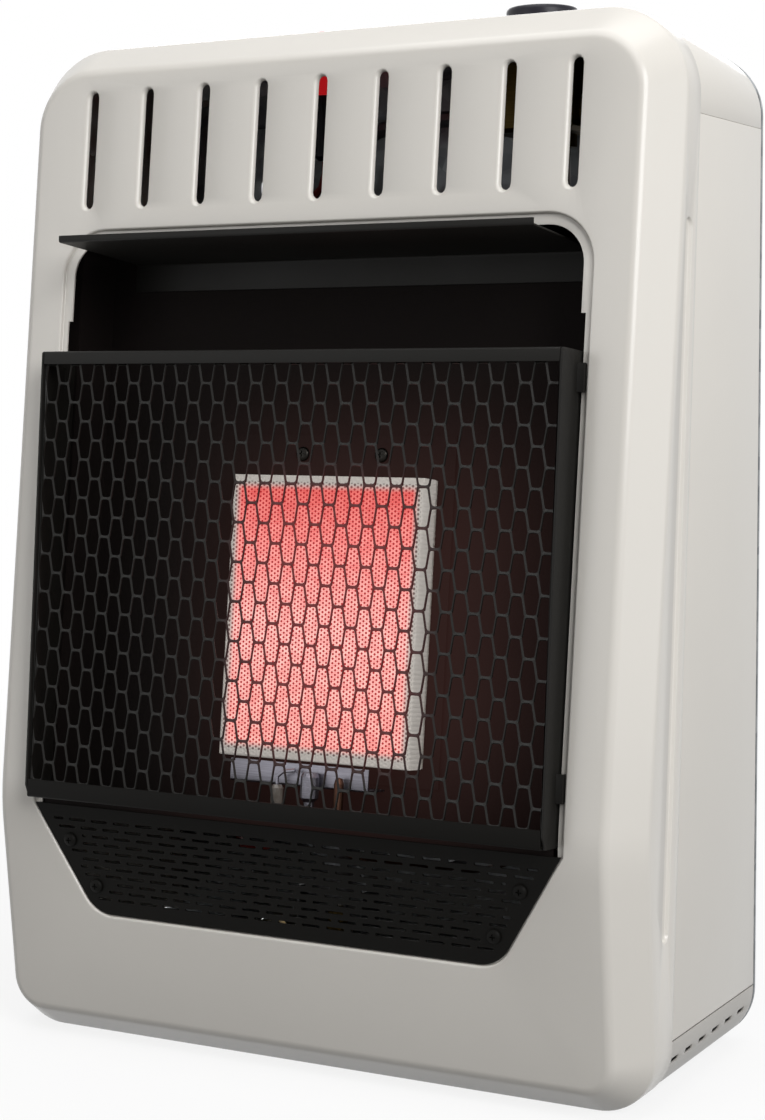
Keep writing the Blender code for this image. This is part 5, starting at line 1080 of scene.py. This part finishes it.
class HEATER_OT_guard(bpy.types.Operator):
    """Expands the guard's mesh and folds its rails and side plates"""

    bl_idname = "heater.guard"
    bl_label = "Mesh Guard"
    bl_options = {"REGISTER", "UNDO"}

    def execute(self, context):
        half, high, flange = GUARD_HALF - SHEET - GAP, GUARD_HEIGHT, 6 * MM
        self.net(context.scene.heater_sizes, half)
        folded("guard_top_rail", [(flange, high), (0, high), (0, high - 6.4 * MM)], -half, half,
               GUARD, body="guard")
        folded("guard_bottom_rail", [(0, 9 * MM), (0, 0), (flange, 0)], -half, half, GUARD,
               body="guard", finish="sooted_black_enamel")
        for side, name in ((1, "right"), (-1, "left")):
            self.side_plate(side, name)
        return {"FINISHED"}

    @staticmethod
    def net(sizes, half):
        """Expanded steel: tall six-sided cells, every strand turned a little on edge."""
        bm = bmesh.new()
        low, high = SHEET + GAP, GUARD_HEIGHT - SHEET - GAP
        border = 0.9 * MM
        pitch, rise, strand = sizes.net_pitch, sizes.net_rise, sizes.net_strand
        bond = sizes.net_bond / 2 - strand * 0.25
        wide = (pitch - sizes.net_bond) / 2 - strand * 0.5
        tall = rise / 2 - strand / 2
        cells = []
        for column in range(-1, 42):
            x = NET_X - column * pitch / 2
            first = NET_Z + (0 if column % 2 else rise / 2)
            for z in (first + row * rise for row in range(-2, 13)):
                cell = [(x + wide, z), (x + bond, z + tall), (x - bond, z + tall), (x - wide, z),
                        (x - bond, z - tall), (x + bond, z - tall)]
                cell = clip([tuple(p) for p in rounded(cell, 1.3 * MM, 2, True)], half - border,
                            low + border, high - border)
                if len(cell) > 2:
                    cells.append((z, cell))
        edge = [(half, low), (half, high), (-half, high), (-half, low)]
        rows = plate(bm, [edge, *[cell for _, cell in cells]])
        for (z, _), row in zip(cells, rows[1:]):
            for vert in row:
                share = (vert.co.z - z) / (rise / 2)
                vert.co.y = -0.42 * MM * max(-1, min(1, share * 3))
        face_out(bm)
        bmesh.ops.translate(bm, vec=(0, SHEET + GAP + 0.45 * MM, 0), verts=bm.verts)
        finish_piece(bm, "guard_mesh", GUARD, "guard", wall=0.6 * MM, flat=True,
                     finish="net_black_enamel")

    @staticmethod
    def side_plate(side, name):
        """A plate in YZ with two hook tabs pressed out towards the cover."""
        bm = bmesh.new()
        x, high, tab = side * GUARD_HALF, GUARD_HEIGHT, 13 * MM
        line = [(3 * MM, 0), (20 * MM, 0), (26.5 * MM, high), (0, high), (0, 6 * MM)]
        rows = [chain(bm, [(x, y, z) for y, z in rounded(line, 1.5 * MM, 3, True)])]
        for y, z in ((11.5 * MM, 20 * MM), (16.5 * MM, high - 18.5 * MM)):
            rows.append(chain(bm, [(x, y, z), (x, y + 3 * MM, z), (x, y + 3 * MM, z + tab),
                                   (x, y, z + tab)]))
        fill_rows(bm, rows, (side, 0, 0))
        for row in rows[1:]:
            out = draw_out(bm, row, [v.co + Vector((side * 3.3 * MM, 0, 0)) for v in row])
            fill_rows(bm, [out], (side, 0, 0))
        face_out(bm, (side, 0, 0))
        finish_piece(bm, f"guard_{name}_plate", GUARD, "guard", wall=SHEET, soften=0.25 * MM)


def clip(points, half, low, high):
    """A convex outline cut to |x| <= half and low <= z <= high, or nothing if a sliver is left."""
    for axis, limit, sign in ((0, half, 1), (0, -half, -1), (1, high, 1), (1, low, -1)):
        kept = []
        for a, b in zip(points, points[1:] + points[:1]):
            inside_a, inside_b = (sign * p[axis] <= sign * limit for p in (a, b))
            if inside_a:
                kept.append(a)
            if inside_a != inside_b:
                t = (limit - a[axis]) / (b[axis] - a[axis])
                kept.append((a[0] + t * (b[0] - a[0]), a[1] + t * (b[1] - a[1])))
        points = kept
        if len(points) < 3:
            return []
    if any(max(values) - min(values) < 0.7 * MM for values in zip(*points)):
        return []
    return [p for i, p in enumerate(points) if math.dist(p, points[i - 1]) > 0.1 * MM]


class HEATER_OT_hood(bpy.types.Operator):
    """Folds the black hood over the opening"""

    bl_idname = "heater.hood"
    bl_label = "Hood"
    bl_options = {"REGISTER", "UNDO"}

    def execute(self, context):
        top, half = OPENING_RISE - 10.6 * MM, 127.7 * MM
        tip, lip, flange = -28 * MM, 3.4 * MM, 14.2 * MM
        folded("hood", [(tip, top + lip), (tip, top), (FRAME_Y, top), (FRAME_Y, top - flange)],
               -half, half, UPPER, bend=1.3 * MM)
        return {"FINISHED"}


class HEATER_OT_grille(bpy.types.Operator):
    """Punches the lower grille with its rows of fine slots"""

    bl_idname = "heater.grille"
    bl_label = "Lower Grille"
    bl_options = {"REGISTER", "UNDO"}

    def execute(self, context):
        sizes = context.scene.heater_sizes
        bm = bmesh.new()
        clear = 0.6 * MM
        foot = [(x, (z - CREASE_Z) / math.cos(LEAN_DOWN)) for x, z in opening_foot(clear)]
        half = OPENING_HALF - clear
        edge = [(half, 0), (-half, 0), *mirrored(foot), *foot]
        slope = (OPENING_HALF - OPENING_FOOT_HALF) / (CREASE_Z - OPENING_FOOT_Z)
        slot = sizes.grille_slot / 2
        holes = []
        for row in range(11):
            z = -7 * MM - row * sizes.grille_rise
            # the slots end short of the slanting edge and of the screws
            room = OPENING_HALF + (z - 2 * MM) * slope - 6 * MM
            for screw_x, screw_z in GRILLE_SCREWS:
                if abs(z - screw_z) < 5 * MM:
                    room = min(room, screw_x - 7 * MM)
            shift = sizes.grille_pitch / 2 if row % 2 else 0.0
            for i in range(-12, 13):
                x = i * sizes.grille_pitch + shift
                left, right = max(x - slot, -room), min(x + slot, room)
                if right - left > 2.5 * MM:
                    holes.append(side_capsule(left, right, z, sizes.grille_gap))
        holes += [arc(side * x, z, SCREW_HOLE_R, 0, 330, 11) for x, z in GRILLE_SCREWS
                  for side in (1, -1)]
        plate(bm, [edge, *holes], GRILLE_Y)
        face_out(bm)
        finish_piece(bm, "lower_grille", LOWER, wall=SHEET, flat=True,
                     finish="sooted_black_enamel")
        return {"FINISHED"}


class HEATER_OT_firebox(bpy.types.Operator):
    """Finishes the firebox tray, its sill and brackets, and the plaque's frame and gasket"""

    bl_idname = "heater.firebox"
    bl_label = "Firebox"
    bl_options = {"REGISTER", "UNDO"}

    def execute(self, context):
        dress("firebox_tray", "firebox_sill", "plaque_frame", "plaque_gasket",
              "firebox_bracket_left", "firebox_bracket_right")
        return {"FINISHED"}


class HEATER_OT_plaque(bpy.types.Operator):
    """Sets the glowing ceramic plaque with its chamfered edge"""

    bl_idname = "heater.plaque"
    bl_label = "Ceramic Plaque"
    bl_options = {"REGISTER", "UNDO"}

    def execute(self, context):
        bm = block(PLAQUE_LOW, PLAQUE_HIGH)
        middle = (PLAQUE_LOW.y + PLAQUE_HIGH.y) / 2
        round_edges(bm, lambda place: place.y < middle, 1.3 * MM, 2)
        finish_piece(bm, "ceramic_plaque", UPPER, soften=0.4 * MM)
        return {"FINISHED"}


class HEATER_OT_pilot(bpy.types.Operator):
    """Folds the pilot's bracket and finishes the pilot burner, electrode and thermocouple"""

    bl_idname = "heater.pilot"
    bl_label = "Pilot"
    bl_options = {"REGISTER", "UNDO"}

    def execute(self, context):
        front, low = 23.3 * MM, 18.5 * MM
        folded("pilot_bracket", [(front, 29.5 * MM), (front, low), (FIREBOX_BACK - GAP, low)],
               -44 * MM, 33 * MM, UPPER)
        dress("pilot_burner", "electrode_insulator", "electrode_wire", "thermocouple")
        return {"FINISHED"}


class HEATER_OT_burner(bpy.types.Operator):
    """Finishes the burner box, the venturi and the injector behind the firebox"""

    bl_idname = "heater.burner"
    bl_label = "Burner"
    bl_options = {"REGISTER", "UNDO"}

    def execute(self, context):
        dress("burner_box", "venturi_tube", "injector", "injector_bracket")
        return {"FINISHED"}


class HEATER_OT_controls(bpy.types.Operator):
    """Turns the control knob and the igniter, and finishes the valve under them"""

    bl_idname = "heater.controls"
    bl_label = "Controls"
    bl_options = {"REGISTER", "UNDO"}

    def execute(self, context):
        self.knob()
        place = CABINET @ Matrix.Translation(IGNITER)
        top = 499.4
        body = [(0, 475), (4.7, 475), (4.7, top - 0.3), (5.0, top), (8.2, top), (8.8, top - 0.3),
                (9, top - 1), (9, 497.4), (5.7, 497.4), (5.7, 442), (3.7, 440), (0, 440)]
        finish_piece(turned(body), "igniter_body", place)
        top = 503.4
        button = [(0, top - 0.5), (2.4, top - 0.5), (3.0, top - 0.15), (3.4, top),
                  (3.9, top - 0.15), (4.3, top - 0.6), (4.4, top - 1.2), (4.4, top - 24),
                  (0, top - 24)]
        finish_piece(turned(button), "igniter_button", place, "button")
        dress("control_bracket", "gas_valve_body", "valve_plug", "valve_stem", "igniter_nut")
        return {"FINISHED"}

    @staticmethod
    def knob():
        """A low round knob, dished on both sides of a finger bar."""
        # radius and heights in millimetres
        r, top, foot, socket = 17.5, 510.0, 499.0, 505.3
        bm = turned([(0, top - 4.5), (12.5, top - 4.5), (13.6, top - 4.1), (14.3, top - 3),
                     (14.6, top - 0.9), (15, top - 0.25), (15.7, top), (16.6, top - 0.3),
                     (17.2, top - 1.0), (r, top - 2.2), (r, foot + 0.8), (r - 0.3, foot + 0.2),
                     (r - 1, foot), (3.3, foot), (3.3, socket), (0, socket)], 96)
        # the finger bar across the dish
        bar = block(Vector((-4, -15.5, top - 5.2)) * MM, Vector((4, 15.5, top)) * MM)
        round_edges(bar, lambda place: place.z > (top - 1) * MM, 1.2 * MM, 4)
        mesh = mesh_from(bar, "bar")
        bm.from_mesh(mesh)
        bpy.data.meshes.remove(mesh)
        finish_piece(bm, "control_knob", CABINET @ Matrix.Translation(KNOB), "knob")


class HEATER_OT_gas_supply(bpy.types.Operator):
    """Finishes the regulator, the inlet fitting, the gas tubes and the leads"""

    bl_idname = "heater.gas_supply"
    bl_label = "Gas Supply"
    bl_options = {"REGISTER", "UNDO"}

    def execute(self, context):
        dress("regulator_body", "regulator_cap", "regulator_stand", "inlet_fitting", "supply_tube",
              "manifold_tube", "pilot_tube", "thermocouple_lead", "igniter_lead")
        return {"FINISHED"}


# soft lights as name, place, height aimed at, size and power
LIGHTS = (
    ("key_softbox", (1.65, -1.1, 1.25), 0.25, 1.2, 33),
    ("top_softbox", (0, -0.35, 2.2), 0.25, 2.0, 29),
    ("left_softbox", (-1.15, -1.9, 0.55), 0.25, 1.4, 7),
    ("side_softbox", (2.2, 0.1, 0.55), 0.25, 1.4, 9),
    ("rear_softbox", (-0.9, 2.0, 0.9), 0.3, 1.4, 16),
)
# the room's own light, and what the floor throws back
ROOM = 0.05
BOUNCE = 0.2
WHITE = (1, 1, 1, 1)
# the photograph's camera, found by fitting the cabinet's edges: the picture's size in pixels,
# the camera's place from the cabinet, its turns, and its lens and middle in pixels
PHOTO = (765, 1120)
CAMERA_PLACE = (0.551021, -0.904972, 0.338116)
YAW, PITCH, ROLL = -0.500120, -0.089336, -0.005387
LENS, MIDDLE = 2281.26, (384.13, 570.09)
SENSOR_MM = 36


class HEATER_OT_stage(bpy.types.Operator):
    """Sets the pale studio: floor, soft lights, world and camera"""

    bl_idname = "heater.stage"
    bl_label = "Studio"
    bl_options = {"REGISTER", "UNDO"}

    def execute(self, context):
        self.floor(context.scene.heater_colours)
        self.world(context.scene)
        for name, place, aim, size, power in LIGHTS:
            light = bpy.data.lights.new(name, "AREA")
            light.shape = "SQUARE"
            light.size = size
            light.energy = power
            obj = new_object(name, light)
            obj.location = place
            way = Vector((0, 0, aim)) - Vector(place)
            obj.rotation_euler = way.to_track_quat("-Z", "Y").to_euler()
        self.camera(context.scene)
        context.scene.view_settings.view_transform = "Standard"
        return {"FINISHED"}

    @staticmethod
    def seen(tree):
        """1 for the rays that look, mirror or pass through, 0 for those that only light."""
        rays = add(tree, "ShaderNodeLightPath").outputs
        share = rays["Is Camera Ray"]
        for other in ("Is Glossy Ray", "Is Transmission Ray"):
            share = add(tree, "ShaderNodeMath", {0: share, 1: rays[other]}, operation="ADD",
                        use_clamp=True).outputs[0]
        return share

    def floor(self, colours):
        """White paper that keeps the heater's shadow and fades to pure white farther off."""
        bm = bmesh.new()
        bmesh.ops.create_grid(bm, x_segments=2, y_segments=2, size=6)
        obj = new_object("studio_floor", mesh_from(bm, "studio_floor"))
        material = bpy.data.materials.new("studio_paper")
        material.use_nodes = True
        tree = material.node_tree
        tree.nodes.clear()
        place = add(tree, "ShaderNodeTexCoord").outputs["Object"]
        away = add(tree, "ShaderNodeVectorMath", {0: place}, operation="LENGTH")
        share = add(tree, "ShaderNodeMapRange", {"Value": away.outputs["Value"], "From Min": 0.25,
                                                 "From Max": 1.3, "To Min": 0.84, "To Max": 1.0})
        seen = self.seen(tree)
        part = add(tree, "ShaderNodeMath", {0: seen, 1: share.outputs[0]}, operation="MULTIPLY")
        tint = add(tree, "ShaderNodeMix", {"Factor": seen, "A": four([BOUNCE] * 3),
                                           "B": four(colours.floor)}, data_type="RGBA")
        paper = add(tree, "ShaderNodeBsdfDiffuse", {"Color": tint.outputs["Result"]})
        white = add(tree, "ShaderNodeEmission", {"Color": WHITE, "Strength": 1.0})
        mix = add(tree, "ShaderNodeMixShader", {0: part.outputs[0], 1: paper.outputs[0],
                                                2: white.outputs[0]})
        add(tree, "ShaderNodeOutputMaterial", {"Surface": mix.outputs[0]})
        obj.data.materials.append(material)

    def world(self, scene):
        """White where it is looked at, and a dim room for what it lights."""
        scene.world = world = bpy.data.worlds.new("studio")
        world.use_nodes = True
        tree = world.node_tree
        tree.nodes.clear()
        dim, white = (add(tree, "ShaderNodeBackground", {"Color": WHITE, "Strength": strength})
                      for strength in (ROOM, 1.0))
        mix = add(tree, "ShaderNodeMixShader", {0: self.seen(tree), 1: dim.outputs[0],
                                                2: white.outputs[0]})
        add(tree, "ShaderNodeOutputWorld", {"Surface": mix.outputs[0]})

    @staticmethod
    def camera(scene):
        ahead = Vector((math.sin(YAW) * math.cos(PITCH), math.cos(YAW) * math.cos(PITCH),
                        math.sin(PITCH)))
        right = Vector((math.cos(YAW), -math.sin(YAW), 0))
        up = right.cross(ahead)
        across = right * math.cos(ROLL) + up * math.sin(ROLL)
        upward = up * math.cos(ROLL) - right * math.sin(ROLL)
        data = bpy.data.cameras.new("photo_camera")
        data.sensor_fit = "HORIZONTAL"
        data.sensor_width = SENSOR_MM
        data.lens = LENS / PHOTO[0] * SENSOR_MM
        data.shift_x = (PHOTO[0] / 2 - MIDDLE[0]) / PHOTO[0]
        data.shift_y = (MIDDLE[1] - PHOTO[1] / 2) / PHOTO[0]
        obj = new_object("photo_camera", data)
        turn = Matrix((across, upward, -ahead)).transposed().to_4x4()
        obj.matrix_world = CABINET @ Matrix.Translation(CAMERA_PLACE) @ turn
        scene.camera = obj


OPERATORS = (
    HEATER_OT_front_cover, HEATER_OT_body_panels, HEATER_OT_rear_panel, HEATER_OT_screws,
    HEATER_OT_guard, HEATER_OT_hood, HEATER_OT_grille, HEATER_OT_firebox, HEATER_OT_plaque,
    HEATER_OT_pilot, HEATER_OT_burner, HEATER_OT_controls, HEATER_OT_gas_supply, HEATER_OT_stage,
)


class HEATER_PT_panel(bpy.types.Panel):
    """Lists the heater's pieces"""

    bl_idname = "HEATER_PT_panel"
    bl_label = "Ventless Heater"
    bl_space_type = "VIEW_3D"
    bl_region_type = "UI"
    bl_category = "Heater"

    def draw(self, context):
        for group in (context.scene.heater_sizes, context.scene.heater_colours):
            box = self.layout.box()
            for name in group.bl_rna.properties.keys():
                if name not in ("rna_type", "name"):
                    box.prop(group, name)
        for operator in OPERATORS:
            self.layout.operator(operator.bl_idname)


CLASSES = (HeaterSizes, HeaterColours, *OPERATORS, HEATER_PT_panel)


def register():
    for cls in CLASSES:
        bpy.utils.register_class(cls)
    bpy.types.Scene.heater_sizes = PointerProperty(type=HeaterSizes)
    bpy.types.Scene.heater_colours = PointerProperty(type=HeaterColours)


def unregister():
    del bpy.types.Scene.heater_colours
    del bpy.types.Scene.heater_sizes
    for cls in reversed(CLASSES):
        bpy.utils.unregister_class(cls)


def main():
    register()
    for operator in OPERATORS:
        group, name = operator.bl_idname.split(".")
        getattr(getattr(bpy.ops, group), name)()


if __name__ == "__main__":
    main()
